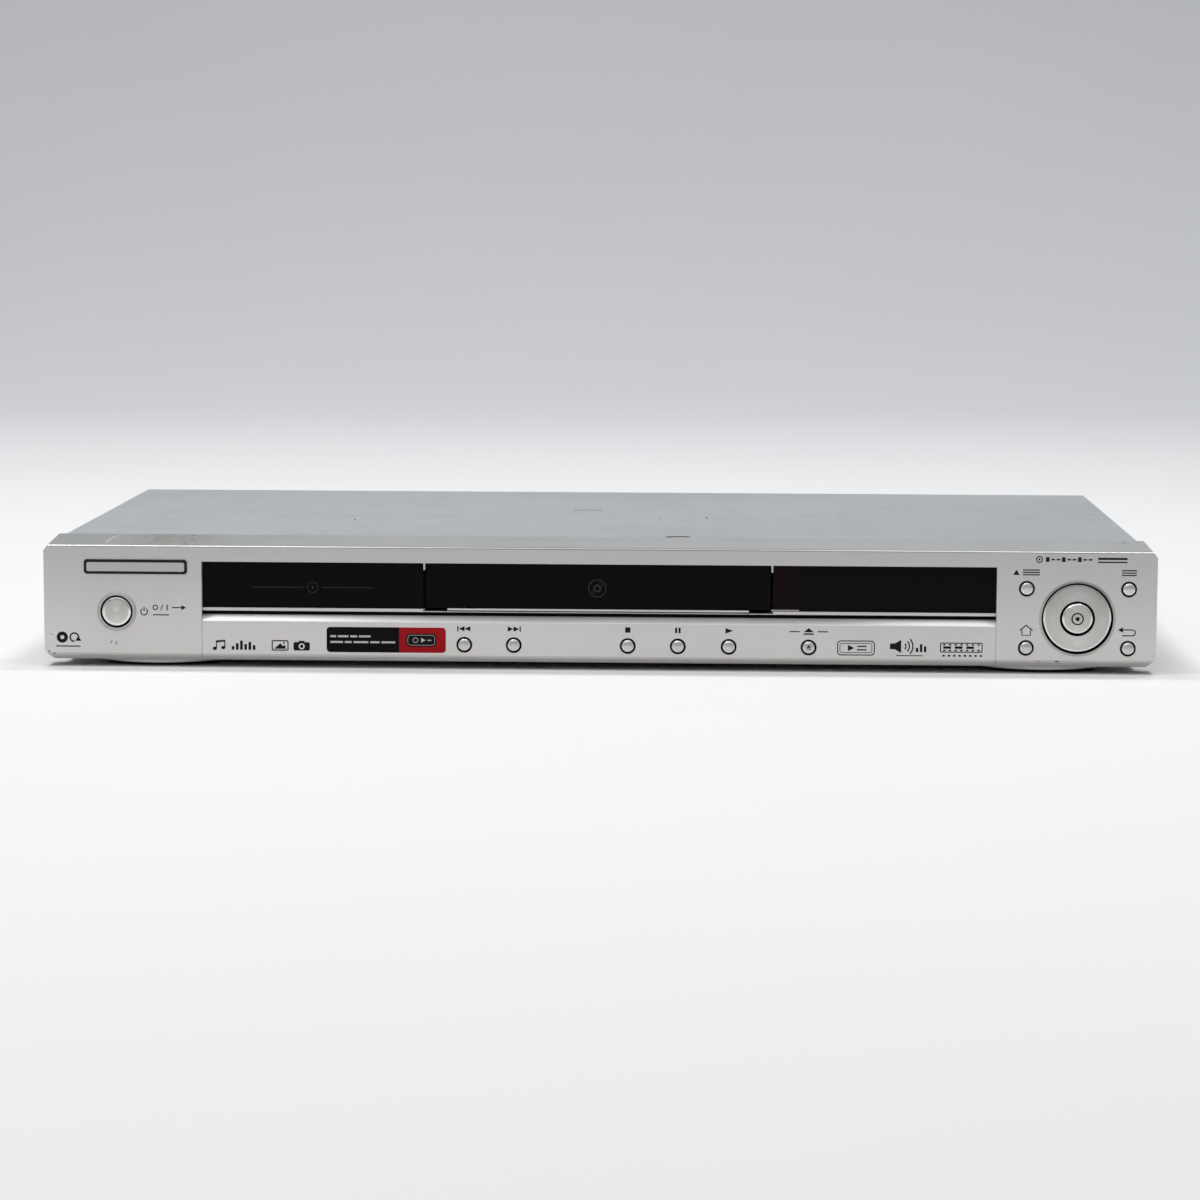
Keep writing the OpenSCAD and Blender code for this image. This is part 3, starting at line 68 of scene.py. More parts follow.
camera_data = bpy.data.cameras.new("camera")
camera_data.sensor_width = 36
camera_data.lens = 105.36
camera_data.clip_end = 20
camera = bpy.data.objects.new("camera", camera_data)
camera.location = (43.14 * MM, -1420.83 * MM, 183.10 * MM)
camera.rotation_euler = camera_turn(pitch=6.7772, yaw=-1.8422, roll=0.2182)
scene.collection.objects.link(camera)
scene.camera = camera


def soft_lamp(name, place, aim, width, height, watts, tint):
    """A rectangular area lamp that faces a point, with sizes in metres."""
    data = bpy.data.lights.new(name, "AREA")
    data.shape = "RECTANGLE"
    data.size, data.size_y = width, height
    data.energy = watts
    data.color = tint
    lamp = bpy.data.objects.new(name, data)
    lamp.location = place
    lamp.rotation_euler = (Vector(aim) - Vector(place)).to_track_quat("-Z", "Y").to_euler()
    scene.collection.objects.link(lamp)


COOL, WARM = (0.97, 0.985, 1), (1, 0.96, 0.92)
CEILING = 1.7  # metres
for name, x, y, width, depth, watts in [
        ("ceiling_left", -0.60, -0.34, 0.34, 0.34, 9.5), ("ceiling_right", 0.56, -0.34, 0.30, 0.34, 6.5),
        ("back_left", -0.50, 0.35, 0.6, 0.24, 10.5), ("back_right", 0.50, 0.35, 0.6, 0.24, 9)]:
    soft_lamp(name, (x, y, CEILING), (x, y, 0), width, depth, watts, COOL)
soft_lamp("front_fill", (-0.6, -1.9, CEILING), (0, -0.1, 0.03), 2.0, 0.8, 10, WARM)


class Wire:
    """A shader value that can be used in Python sums; each operator adds its Math node."""

    def __init__(self, shader, socket):
        self.shader, self.socket = shader, socket

    def math(self, operation, *values):
        return self.shader.node("ShaderNodeMath", {"operation": operation}, *values)

    def __add__(self, other):
        return self.math("ADD", self, other)

    __radd__ = __add__

    def __sub__(self, other):
        return self.math("SUBTRACT", self, other)

    def __rsub__(self, other):
        return self.math("SUBTRACT", other, self)

    def __mul__(self, other):
        return self.math("MULTIPLY", self, other)

    __rmul__ = __mul__

    def __truediv__(self, other):
        return self.math("DIVIDE", self, other)

    def __pow__(self, other):
        return self.math("POWER", self, other)

    def __lt__(self, other):
        return self.math("LESS_THAN", self, other)

    def __gt__(self, other):
        return self.math("GREATER_THAN", self, other)

    def __or__(self, other):
        """The larger value; of two masks, where either holds."""
        return self.math("MAXIMUM", self, other)

    __ror__ = __or__

    def size(self):
        return self.math("ABSOLUTE", self)

    def wave(self, pitch):
        """A sine wave that comes back every pitch."""
        return self.math("SINE", self * (2 * math.pi / pitch))

    def step(self, low, high):
        """0 below low, 1 above high and smooth between."""
        settings = {"interpolation_type": "SMOOTHSTEP"}
        return self.shader.node("ShaderNodeMapRange", settings, self, low, high, 0.0, 1.0)

    def between(self, low, high):
        """1 between low and high, 0 outside."""
        return (self > low) * (self < high)

    def band(self, low, full, fading, high):
        """0 outside low and high, 1 from full to fading and smooth between."""
        return self.step(low, full) * (1 - self.step(fading, high))


class Shader:
    """A material, or the light of the room, that is built node by node."""

    def __init__(self, name, library=bpy.data.materials, surface="Principled BSDF"):
        self.material = library.new(name)
        self.material.use_nodes = True
        self.tree = self.material.node_tree
        self.surface = self.tree.nodes[surface]

    def feed(self, socket, value):
        """Links a wire to a socket, or sets the socket; a colour is given as three numbers."""
        if isinstance(value, Wire):
            self.tree.links.new(value.socket, socket)
        else:
            socket.default_value = (*value, 1) if socket.type == "RGBA" else value

    def node(self, kind, settings, *values, out=0, **named):
        """Adds a node: settings first, then its sockets by place or by name; None leaves a socket alone."""
        made = self.tree.nodes.new(kind)
        for key, value in settings.items():
            if key == "stops":
                for stop, (place, colour) in zip(made.color_ramp.elements, value):
                    stop.position, stop.color = place, (*colour, 1)
            else:
                setattr(made, key, value)
        for key, value in [*enumerate(values), *named.items()]:
            if value is not None:
                self.feed(made.inputs[key], value)
        return Wire(self, made.outputs[out])

    def set(self, **sockets):
        """Feeds sockets of the surface; underscores stand for spaces."""
        for key, value in sockets.items():
            self.feed(self.surface.inputs[key.replace("_", " ")], value)
        return self.material

    def place(self):
        """Object coordinates, in metres."""
        return self.node("ShaderNodeTexCoord", {}, out="Object")

    def axes(self):
        """Object coordinates as three numbers."""
        split = self.node("ShaderNodeSeparateXYZ", {}, self.place()).socket.node
        return [Wire(self, socket) for socket in split.outputs]

    def off_axis(self, x, z):
        """Distance in metres from the line along Y through (x, z)."""
        flat = self.node("ShaderNodeVectorMath", {"operation": "MULTIPLY"}, self.place(), (1, 0, 1))
        return self.node("ShaderNodeVectorMath", {"operation": "DISTANCE"}, flat, (x, 0, z), out=1)

    def noise(self, scale, detail=2, roughness=0.5, vector=None):
        """Noise between 0 and 1, with scale in bumps per metre."""
        return self.node("ShaderNodeTexNoise", {}, vector or self.place(),
                         Scale=scale, Detail=detail, Roughness=roughness)

    def spots(self, fine, fine_cut, coarse, coarse_cut):
        """Fine spots gathered in coarse patches: two noises, each with the levels it fades in between."""
        return self.noise(*fine).step(*fine_cut) * self.noise(*coarse).step(*coarse_cut)

    def mix(self, factor, first, second):
        """A mix of two colours; a Mix node's colour sockets come after five of other kinds."""
        other_kinds = [None] * 5
        return self.node("ShaderNodeMix", {"data_type": "RGBA"}, factor, *other_kinds, first, second, out=2)

    def bump(self, height, distance, strength):
        """Normal of a surface with bumps, whose height is distance metres."""
        return self.node("ShaderNodeBump", {}, Strength=strength, Distance=distance, Height=height)


# The room is pale overhead and dimmer around the horizon.
room = Shader("room", bpy.data.worlds, "Background")
direction = room.node("ShaderNodeTexCoord", {}, out="Generated")
height = room.node("ShaderNodeSeparateXYZ", {}, direction, out="Z")
stops = [(0.22, (0.06, 0.06, 0.06)), (0.6, (0.90, 0.92, 0.94))]
scene.world = room.set(Color=room.node("ShaderNodeValToRGB", {"stops": stops}, height), Strength=0.42)

# The table and wall are one sheet of pale card: a flat floor, a wide bend and an upright back.
bpy.ops.mesh.primitive_plane_add(size=1, location=(0, -1.6, 0))
sweep = bpy.context.object
sweep.name = "studio_sweep"
sweep.scale = (12, 6, 1)
bpy.ops.object.transform_apply(location=True, scale=True)
bpy.ops.object.mode_set(mode="EDIT")
bpy.ops.mesh.select_all(action="DESELECT")
bpy.ops.object.mode_set(mode="OBJECT")
for edge in sweep.data.edges:
    edge.select = all(sweep.data.vertices[v].co.y > 1 for v in edge.vertices)
bpy.ops.object.mode_set(mode="EDIT")
bpy.ops.mesh.spin(steps=20, angle=math.radians(-80), center=(0, 1.4, 1.4), axis=(1, 0, 0))
bpy.ops.mesh.extrude_region_move(TRANSFORM_OT_translate={"value": (0, 0.5, 3)})
bpy.ops.mesh.select_all(action="SELECT")
bpy.ops.mesh.normals_make_consistent(inside=False)
bpy.ops.object.mode_set(mode="OBJECT")
bpy.ops.object.shade_smooth()
card = Shader("studio_card")
depth = card.axes()[1]
card_tone = card.mix(depth.step(-0.1, 2.0), (0.75, 0.745, 0.74), (0.86, 0.865, 0.88))
card_tone = card.mix(card.noise(3, 3) * 0.1, card_tone, (0.5, 0.5, 0.5))
sweep.data.materials.append(card.set(Base_Color=card_tone, Roughness=0.9, Specular_IOR_Level=0.2))

# ---------------------------------------------------------------- front panel
# A moulding of dark plastic sprayed silver, with the top strip, the end blocks and the window frame. The
# strip under the windows, the door's lip and the front feet are separate mouldings with the same paint.
# The mould rounds their edges.


def dress(node, material, edge, segments=2):
    """A copy of a solid with its edges rounded by edge millimetres, shown in its place."""
    copy = bpy.data.objects.new(node + "_shell", frame["nodes"][node].data.copy())
    scene.collection.objects.link(copy)
    bpy.ops.object.select_all(action="DESELECT")
    copy.select_set(True)
    bpy.context.view_layer.objects.active = copy
    bpy.ops.object.mode_set(mode="EDIT")
    bpy.ops.mesh.select_all(action="SELECT")
    bpy.ops.mesh.remove_doubles(threshold=2e-6)
    bpy.ops.mesh.dissolve_limited(angle_limit=math.radians(0.8))
    bpy.ops.object.mode_set(mode="OBJECT")
    bevel = copy.modifiers.new("edge", "BEVEL")
    bevel.width = edge * MM
    bevel.segments = segments
    bevel.limit_method = "ANGLE"
    bevel.angle_limit = math.radians(30)
    bevel.use_clamp_overlap = True
    bpy.ops.object.modifier_apply(modifier="edge")
    bpy.ops.object.shade_smooth_by_angle(angle=math.radians(32))
    flat = copy.modifiers.new("flat", "WEIGHTED_NORMAL")
    flat.weight = 100
    flat.keep_sharp = True
    bpy.ops.object.modifier_apply(modifier="flat")
    copy.data.materials.clear()
    copy.data.materials.append(material)
    body = next(b for b, nodes in frame["record"]["behaviour"]["bodies"].items() if node in nodes)
    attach(copy, body)
    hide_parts(node)


def middle(node):
    """The middle of a piece, seen from the front."""
    low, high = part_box(node)
    return (low[0] + high[0]) / 2, (low[2] + high[2]) / 2


def scaled(colour, factor):
    """A colour made lighter or darker."""
    return tuple(channel * factor for channel in colour)


# Places on the front, in metres: depths behind its face, and heights above the table or under its top.
front_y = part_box("lower_strip")[0][1]
strip_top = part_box("top_cover")[1][2]
strip_foot, brow_z = strip_top - 3.1 * MM, strip_top - 3.8 * MM
recess_z = (strip_top - 26.9 * MM, strip_top - 10.2 * MM)
groove_z = (strip_top - 29.4 * MM, strip_top - 28.0 * MM)
shelf_z = (strip_top - 33 * MM, strip_top - 28 * MM)
shelf_y = (front_y + 0.3 * MM, front_y + 3.2 * MM)
dark_line_z = (21.9 * MM, 22.25 * MM)
dark_line_y = (front_y + 2.3 * MM, front_y + 2.7 * MM)
feet_z, bevel_z = strip_top - 46 * MM, 5.3 * MM
display_end, door_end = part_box("display_window")[1][0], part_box("ir_window")[0][0]
CAPS = [n for n in frame["nodes"] if n.endswith("_button")] + ["nav_ring"]
TURNED = ("power_button", "enter_button", "nav_ring")


def shaded_gaps(paint):
    """Where near-black painted shade goes: into the keys' bores, the groove under the sill and the windows'
    recess.
    """
    x, y, z = paint.axes()
    bored = 0.0
    for cap in CAPS:
        play = (0.56 if cap in TURNED else 0.76) * MM
        flange = (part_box(cap)[1][0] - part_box(cap)[0][0]) / 2
        bored = (paint.off_axis(*middle(cap)) < flange + play) | bored
    in_bore = bored * (y > front_y + 0.04 * MM)
    groove = z.between(*groove_z) * (y > front_y + 2.9 * MM)
    recess = z.between(*recess_z) * (y > front_y + 3.3 * MM) * (x.size() < display_end + 0.3 * MM)
    return in_bore | groove | recess


def silver_paint(name, tone, metal):
    """Sprayed silver: fine flake and faint clouds, with painted shade that darkens it towards the top,
    painted shade in the gaps, at the shelf, the collars and the edges, a painted highlight on the shelf, and
    the marks of dust and use.
    """
    paint = Shader(name)
    x, y, z = paint.axes()
    warm = scaled((1.025, 1, 0.98), tone)
    clouds = paint.noise(11, 4, 0.6).step(0.35, 0.75)
    colour = paint.mix(paint.noise(9000, 1).step(0.3, 0.7), scaled(warm, 0.93), scaled(warm, 1.05))
    colour = paint.mix(clouds * 0.35, colour, scaled(warm, 0.95))
    # Painted shade: the paint darkens towards the top, as if the low part of the face were lit by the pale
    # floor.
    colour = paint.mix(z.step(2 * MM, 50 * MM) * 0.5, colour, scaled(warm, 0.62))

    # Dust and painted shade darken the sloping top strip, which is darker still towards the left, with
    # rubbed spots and a soiled patch. Fine dark specks lie all over.
    dust_and_shade = (z > strip_foot) * (y > front_y + 0.3 * MM)
    leftward = 1 - x.step(-200 * MM, -30 * MM)
    rubbed = paint.spots((160, 5, 0.7), (0.60, 0.72), (9, 2), (0.5, 0.62))
    soiled = x.band(-182 * MM, -166 * MM, -158 * MM, -138 * MM) * paint.noise(700, 4, 0.7).step(0.42, 0.60)
    specks = paint.spots((420, 3, 0.6), (0.70, 0.76), (24, 2), (0.5, 0.7))
    # Dust together with painted shade darkens the whole top strip; the next mix makes it darker towards the
    # left.
    colour = paint.mix(dust_and_shade * 0.85, colour, scaled((0.45, 0.46, 0.465), tone))
    colour = paint.mix(dust_and_shade * leftward * 0.45, colour, scaled((0.30, 0.305, 0.31), tone))
    colour = paint.mix(dust_and_shade * rubbed * 0.6, colour, scaled((0.34, 0.32, 0.28), tone))
    colour = paint.mix(dust_and_shade * soiled * 0.8, colour, scaled((0.30, 0.27, 0.22), tone))
    colour = paint.mix(specks * 0.35, colour, scaled((0.5, 0.47, 0.42), tone))

    # Painted shade lies on the upper part of the sloping shelf under the windows, near the groove, and a
    # painted highlight makes the shelf bright at its ends and dull between.
    gap_shade = shaded_gaps(paint)
    shelf = y.between(*shelf_y)
    sill_shade = z.step(strip_top - 31.3 * MM, strip_top - 29.3 * MM) * (z < shelf_z[1]) * shelf
    dim_middle = x.band(-125 * MM, -50 * MM, 85 * MM, 130 * MM)
    dim_middle = dim_middle * (0.35 + z.step(strip_top - 32 * MM, strip_top - 30 * MM) * 0.5)
    shelf_highlight = paint.mix(dim_middle, (0.93, 0.93, 0.93), (0.25, 0.25, 0.25))
    # Painted shade under the sill.
    colour = paint.mix(sill_shade * 0.6, colour, scaled((0.12, 0.12, 0.115), tone))
    # Painted shade: the bores, the groove and the recess become near-black and mirror-like.
    colour = paint.mix(gap_shade, colour, (0.008, 0.0065, 0.006))
    # Painted highlight on the shelf, outside the painted shade and the gaps.
    colour = paint.mix(shelf * z.between(*shelf_z) * (1 - sill_shade) * (1 - gap_shade), colour, shelf_highlight)

    # A dark line along the sill under the door, and painted shade on the brow over the windows, where it
    # dims the edge's highlight, most of all in its middle, on the collars that stand proud around the round
    # keys, most at their tops, and on the bevel at the foot.
    sill_dark_line = z.between(*dark_line_z) * y.between(*dark_line_y) * (x.size() < door_end)
    brow_shade = (z > brow_z) * (y < front_y + 0.72 * MM)
    central = x.band(-120 * MM, -60 * MM, 50 * MM, 110 * MM)
    collar = (y < front_y - 0.02 * MM) * (z > feet_z)
    # A dark line along the sill's lip in front of the door.
    colour = paint.mix(sill_dark_line * 0.85, colour, scaled((0.1, 0.1, 0.1), tone))
    # Painted shade over the brow's highlight.
    colour = paint.mix(brow_shade * (0.62 + central * 0.15), colour, scaled((0.25, 0.25, 0.25), tone))
    # Painted shade on the collars, strongest at their tops.
    collar_shade = collar * (0.35 + z.step(24 * MM, 33 * MM) * 0.6)
    colour = paint.mix(collar_shade, colour, scaled((0.42, 0.41, 0.4), tone))
    # Painted shade on the bevel at the foot, which faces the shadowed floor.
    colour = paint.mix((z < bevel_z) * 0.38, colour, scaled((0.38, 0.37, 0.355), tone))
    return paint.set(Base_Color=colour, Roughness=0.34 + clouds * 0.06 + dust_and_shade * 0.1 + collar * 0.35,
                     Metallic=metal + gap_shade * (1 - metal), Coat_Weight=(1 - gap_shade) * 0.12, Coat_Roughness=0.25,
                     Normal=paint.bump(paint.noise(700, 2), 0.00001, 0.35))


panel_paint = silver_paint("silver_panel_paint", tone=0.75, metal=0.6)
for node, edge in [
        ("front_panel", 0.2), ("lower_strip", 0.2), ("front_feet", 0.25), ("tray_door_lip", 0.12)]:
    dress(node, panel_paint, edge)

# ---------------------------------------------------------------- windows and tray door
# Dark acrylic: a plain left window, a smoked display window with its dark red end, and the black door
# of the tray. They are polished but dull with dust and fine haze.


def dark_acrylic(name, tone, rough=0.1):
    """Polished dark plastic with a trace of dust."""
    acrylic = Shader(name)
    dust = acrylic.spots((5200, 2), (0.68, 0.8), (25, 3), (0.4, 0.7))
    haze = acrylic.noise(30, 4).step(0.3, 0.8)
    return acrylic.set(Base_Color=acrylic.mix(dust * 0.05, tone, (0.35, 0.34, 0.33)),
                       Roughness=rough + haze * 0.06, Specular_IOR_Level=0.05)


window_black = dark_acrylic("window_black", (0.0022, 0.0022, 0.0022))
window_smoked = dark_acrylic("window_smoked", (0.0040, 0.0026, 0.0026))
window_red = dark_acrylic("window_red", (0.0075, 0.0024, 0.0028))
door_black = dark_acrylic("door_black", (0.0022, 0.0023, 0.0022), 0.14)
dress("left_window", window_black, 0.15)
dress("display_window", window_smoked, 0.1)
dress("ir_window", window_red, 0.1)
dress("tray_door", door_black, 0.35)

# ---------------------------------------------------------------- keys
# Silver-sprayed caps with domed faces on dark shanks. The power key, the ring and the enter key are
# faced in metal, turned in fine circles. The ring carries four faint arrowheads.
TURNING_PITCH = 0.3 * MM


def cap_radius(key):
    """The radius of a key's cap, without the flange behind it."""
    x, z = middle(key)
    node, depth = frame["nodes"][key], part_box(key)[0][1] + 2 * MM
    places = [node.matrix_world @ vertex.co for vertex in node.data.vertices]
    return max(math.hypot(place.x - x, place.z - z) for place in places if place.y < depth)


def key_finish(key, turned, silvered, chamfer_w, rim_w):
    """Silver to a depth behind the face, dark plastic farther back, a polished chamfer painted bright as a
    highlight and a dark rim of painted shade; painted shade and reflection darken the cap's top and sides.
    """
    x, z = middle(key)
    face_y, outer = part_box(key)[0][1], cap_radius(key)
    paint = Shader(key + "_paint")
    px, py, pz = paint.axes()
    across, up = px - x, pz - z
    radius = (across * across + up * up) ** 0.5
    colour = paint.mix(paint.noise(9000, 1), (0.70, 0.69, 0.67), (0.80, 0.79, 0.77))
    if turned:
        circles = paint.noise(2600, 2, vector=paint.node("ShaderNodeCombineXYZ", {}, radius, 0.0, 0.0))
        colour = paint.mix(circles * 0.35, colour, (0.50, 0.49, 0.475))
    if key == "nav_ring":
        arrowheads = ((across.size() | up.size()) > 8.9 * MM) * (across.size() + up.size() < 10.6 * MM)
        colour = paint.mix(arrowheads * 0.55, colour, (0.80, 0.79, 0.78))
    touched = paint.spots((900, 3), (0.62, 0.74), (60, 2), (0.5, 0.65))
    colour = paint.mix(touched * 0.4, colour, (0.28, 0.26, 0.24))
    if turned:
        # Painted reflection: darker wedges at the sides of a turned face, and painted shade a little at its
        # top.
        sideways = (across.size() / (radius + 0.1 * MM)).step(0.15, 0.9) * (radius > 1.1 * MM)
        colour = paint.mix(sideways * 0.2, colour, (0.36, 0.34, 0.31))
        colour = paint.mix(up.step(-3 * MM, 5 * MM) * 0.1, colour, (0.34, 0.32, 0.29))
    else:
        # Painted shade darkens the top of a domed cap.
        colour = paint.mix(up.step(-2.5 * MM, 2.5 * MM) * 0.4, colour, (0.36, 0.35, 0.34))
    # Painted shade: a dark rim round the cap, wider below, joins the dark shank.
    wider_below = (up * -1).step(0.5 * MM, 3.5 * MM) * 0.2 * MM
    shank_and_rim_shade = (py > face_y + silvered * MM) | (radius + wider_below > outer - rim_w * MM)
    # The polished chamfer is painted bright as a highlight.
    chamfer_and_highlight = (radius > outer - chamfer_w * MM) * (1 - shank_and_rim_shade)
    colour = paint.mix(chamfer_and_highlight * (0.8 if turned else 0.3), colour, (0.93, 0.92, 0.91))
    colour = paint.mix(shank_and_rim_shade, colour, (0.007, 0.0055, 0.005))
    return paint.set(Base_Color=colour, Roughness=(0.46 - chamfer_and_highlight * 0.24) if turned else 0.34,
                     Metallic=0.5 + (shank_and_rim_shade | chamfer_and_highlight * 0.2) * 0.5, Specular_Tint=(0.1, 0.1, 0.1),
                     Normal=paint.bump(radius.wave(TURNING_PITCH), 0.000001, 0.3))


for cap in CAPS:
    turned = cap in TURNED
    edge, silvered, chamfer_w, rim_w = (1.5, 1.6, 1.15, 0.4) if turned else (1.1, 1.2, 0.9, 0.24)
    if cap == "power_button":
        rim_w = 0.1
    dress(cap, key_finish(cap, turned, silvered, chamfer_w, rim_w), edge, segments=6)

# ---------------------------------------------------------------- printed marks
# Dark grey screen print on the silver paint and the windows, a few hundredths thick: standby, the
# transport symbols over their keys, and plain pictograms for the other keys and functions.
FILM = 0.06


def ink(name, tone, rough=0.5):
    """Screen ink that covers a little unevenly."""
    film = Shader(name)
    cover = film.noise(3000, 2).step(0.2, 0.8)
    return film.set(Base_Color=film.mix(cover, scaled(tone, 0.8), tone), Roughness=rough,
                    Specular_IOR_Level=0.12)


def arc(x, z, r, start=0, end=360, steps=32, flat=1.0):
    """Points of an arc around (x, z), counted anticlockwise from +X in degrees."""
    turns = [math.radians(start + (end - start) * i / steps) for i in range(steps + (end - start < 360))]
    return [(x + r * math.cos(a), z + r * flat * math.sin(a)) for a in turns]


def rounded(x0, x1, z0, z1, r):
    """Points of an upright rectangle with round corners."""
    corners = [(x1 - r, z0 + r, -90), (x1 - r, z1 - r, 0), (x0 + r, z1 - r, 90), (x0 + r, z0 + r, 180)]
    return [p for x, z, a in corners for p in arc(x, z, r, a, a + 90, 6)]


def box_points(x, z, w, h, lean=0.0):
    """Corners of a rectangle centred on (x, z), its top pushed sideways by lean."""
    left, right, foot, top = x - w / 2, x + w / 2, z - h / 2, z + h / 2
    return [(left, foot), (right, foot), (right + lean, top), (left + lean, top)]


def arrowhead(x, z, w, h):
    """A triangle centred on (x, z) that points to +X, or to -X with a negative width."""
    return [(x - w / 2, z - h / 2), (x + w / 2, z), (x - w / 2, z + h / 2)]


def drawing(name, outlines, width, thick, closed):
    """Outlines in millimetres as one closed mesh in X and Y: pen lines of a width, or filled shapes."""
    curve = bpy.data.curves.new(name, "CURVE")
    curve.dimensions = "3D" if width else "2D"
    curve.fill_mode = "FULL" if width else "BOTH"
    curve.bevel_depth = width / 2 * MM
    curve.bevel_resolution = 1
    curve.extrude = 0 if width else thick / 2 * MM
    curve.use_fill_caps = bool(width)
    for points in outlines:
        spline = curve.splines.new("POLY")
        spline.points.add(len(points) - 1)
        spline.use_cyclic_u = closed
        for point, (x, z) in zip(spline.points, points):
            point.co = (x * MM, z * MM, 0, 1)
    piece = bpy.data.objects.new(name, curve)
    scene.collection.objects.link(piece)
    bpy.ops.object.select_all(action="DESELECT")
    piece.select_set(True)
    bpy.context.view_layer.objects.active = piece
    bpy.ops.object.convert(target="MESH")
    piece = bpy.context.object
    bpy.ops.object.mode_set(mode="EDIT")
    bpy.ops.mesh.select_all(action="SELECT")
    bpy.ops.mesh.remove_doubles(threshold=1e-7)
    bpy.ops.mesh.normals_make_consistent(inside=False)
    bpy.ops.object.mode_set(mode="OBJECT")
    if width:
        piece.scale = (1, 1, thick / width)
        bpy.ops.object.transform_apply(location=False, rotation=False, scale=True)
    return piece


def line(points, width, closed=False, thick=FILM):
    """A pen line."""
    return drawing("line", [points], width, thick, closed)


def rule(x0, x1, z, width):
    """A level pen line."""
    return line([(x0, z), (x1, z)], width)


def hoop(x, z, r, width, thick=FILM):
    """A pen line round (x, z)."""
    return line(arc(x, z, r), width, closed=True, thick=thick)


def patch(*outlines, thick=FILM):
    """Filled outlines."""
    return drawing("patch", outlines, 0, thick, True)


def block(x, z, w, h, lean=0.0, thick=FILM):
    """A filled rectangle."""
    return patch(box_points(x, z, w, h, lean), thick=thick)


def block_row(x, z, pitch, count, w, h):
    """Like blocks side by side, of which the first is centred on (x, z)."""
    return [block(x + pitch * i, z, w, h) for i in range(count)]


def level_bars(x, foot, pitch, w, heights):
    """Upright bars that stand side by side on a foot line."""
    return [block(x + pitch * i, foot + h / 2, w, h) for i, h in enumerate(heights)]


def list_lines(x, z, w):
    """Three short lines of a list."""
    return [block(x, z + step, w, 0.44) for step in (-0.9, 0, 0.9)]


def stand_on(face, name, material, pieces, body="case"):
    """Joins pieces that lie in X and Y and stands them upright on the plane y = face, in metres."""
    bpy.ops.object.select_all(action="DESELECT")
    for piece in pieces:
        piece.select_set(True)
    whole = pieces[0]
    bpy.context.view_layer.objects.active = whole
    if len(pieces) > 1:
        bpy.ops.object.join()
    whole.name = name
    whole.rotation_euler = (math.radians(90), 0, 0)
    whole.location = (0, face, 0)
    bpy.ops.object.transform_apply(location=True, rotation=True, scale=True)
    whole.data.materials.clear()
    whole.data.materials.append(material)
    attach(whole, body)


dark_ink = ink("dark_ink", (0.010, 0.010, 0.011))
soft_ink = ink("soft_ink", (0.015, 0.015, 0.016))
pale_ink = ink("pale_ink", (0.045, 0.044, 0.043))
key_x = {cap: middle(cap)[0] / MM for cap in CAPS}

# Standby beside the power key: a ring with a bar, then off and on signs with a rule under them.
x, z = -171.9, 21.1
stand_on(front_y, "standby_mark", dark_ink, [
    line(arc(x, z, 1.25, 125, 415), 0.42), block(x, z + 1, 0.42, 1.7)])
z = 22.7
stand_on(front_y, "standby_on_mark", soft_ink, [
    hoop(-167.6, z, 0.85, 0.4), block(-165.6, z, 0.36, 2.1, 0.8), block(-163.1, z, 0.42, 2.1),
    rule(-161.4, -157.6, z, 0.4), patch(arrowhead(-156.8, z, 1.8, 1.9)),
    rule(-168.5, -162.4, z - 2.8, 0.42)])

# Transport symbols in a row over their keys, and the eject sign also on its key.
z = 15.5
for cap, mark, way in [("previous_button", "previous_mark", -1), ("next_button", "next_mark", 1)]:
    x = key_x[cap]
    stand_on(front_y, mark, dark_ink, [
        block(x + way * 2.45, z, 0.5, 2.0), patch(arrowhead(x + way * 1.0, z, way * 2.2, 2.0)),
        patch(arrowhead(x - way * 1.2, z, way * 2.2, 2.0))])
stand_on(front_y, "stop_mark", dark_ink, [block(key_x["stop_button"], z, 2.0, 2.0)])
stand_on(front_y, "pause_mark", dark_ink, [
    block(key_x["pause_button"] + side * 0.65, z, 0.8, 2.1) for side in (-1, 1)])
stand_on(front_y, "play_mark", dark_ink, [patch(arrowhead(key_x["play_button"] + 0.2, z, 2.9, 2.1))])
x = key_x["open_close_button"]
stand_on(front_y, "eject_mark", dark_ink, [
    patch([(x - 1.9, z - 0.3), (x + 1.9, z - 0.3), (x, z + 1.3)]), block(x, z - 1, 3.8, 0.55),
    rule(x - 7.2, x - 3.4, z - 0.1, 0.42), rule(x + 3.4, x + 7.2, z - 0.1, 0.42)])
stand_on(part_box("open_close_button")[0][1] + 0.05 * MM, "open_close_cap_mark", soft_ink, [
    patch([(x - 0.9, 9.4), (x + 0.9, 9.4), (x, 10.3)], thick=0.2), block(x, 8.9, 1.8, 0.3, thick=0.2)],
    body="open_close_button")

# Pictograms at the menu keys: list with an arrow, list, house and return.
x, z = key_x["top_menu_button"], 38.5
stand_on(front_y, "top_menu_mark", soft_ink, [
    *list_lines(x + 1.6, z, 6.4), patch([(x - 5.2, z - 1), (x - 2.8, z - 1), (x - 4.0, z + 1)])])
stand_on(front_y, "menu_mark", soft_ink, list_lines(key_x["menu_button"], z, 5.6))
x = key_x["home_menu_button"]
stand_on(front_y, "home_mark", soft_ink, [
    line([(x - 2.4, 16.5), (x, 18.5), (x + 2.4, 16.5)], 0.5),
    line([(x - 1.6, 16.6), (x - 1.6, 14.7), (x + 1.6, 14.7), (x + 1.6, 16.6)], 0.44)])
x = key_x["return_button"]
stand_on(front_y, "return_mark", soft_ink, [
    line([(x - 2.4, 17.0), (x + 1.6, 17.0), *arc(x + 1.6, 15.9, 1.1, 90, -90, 10), (x - 2.2, 14.8)], 0.44),
    patch(arrowhead(x - 2.9, 17.0, -1.9, 2.1))])
x, z = (place / MM for place in middle("enter_button"))
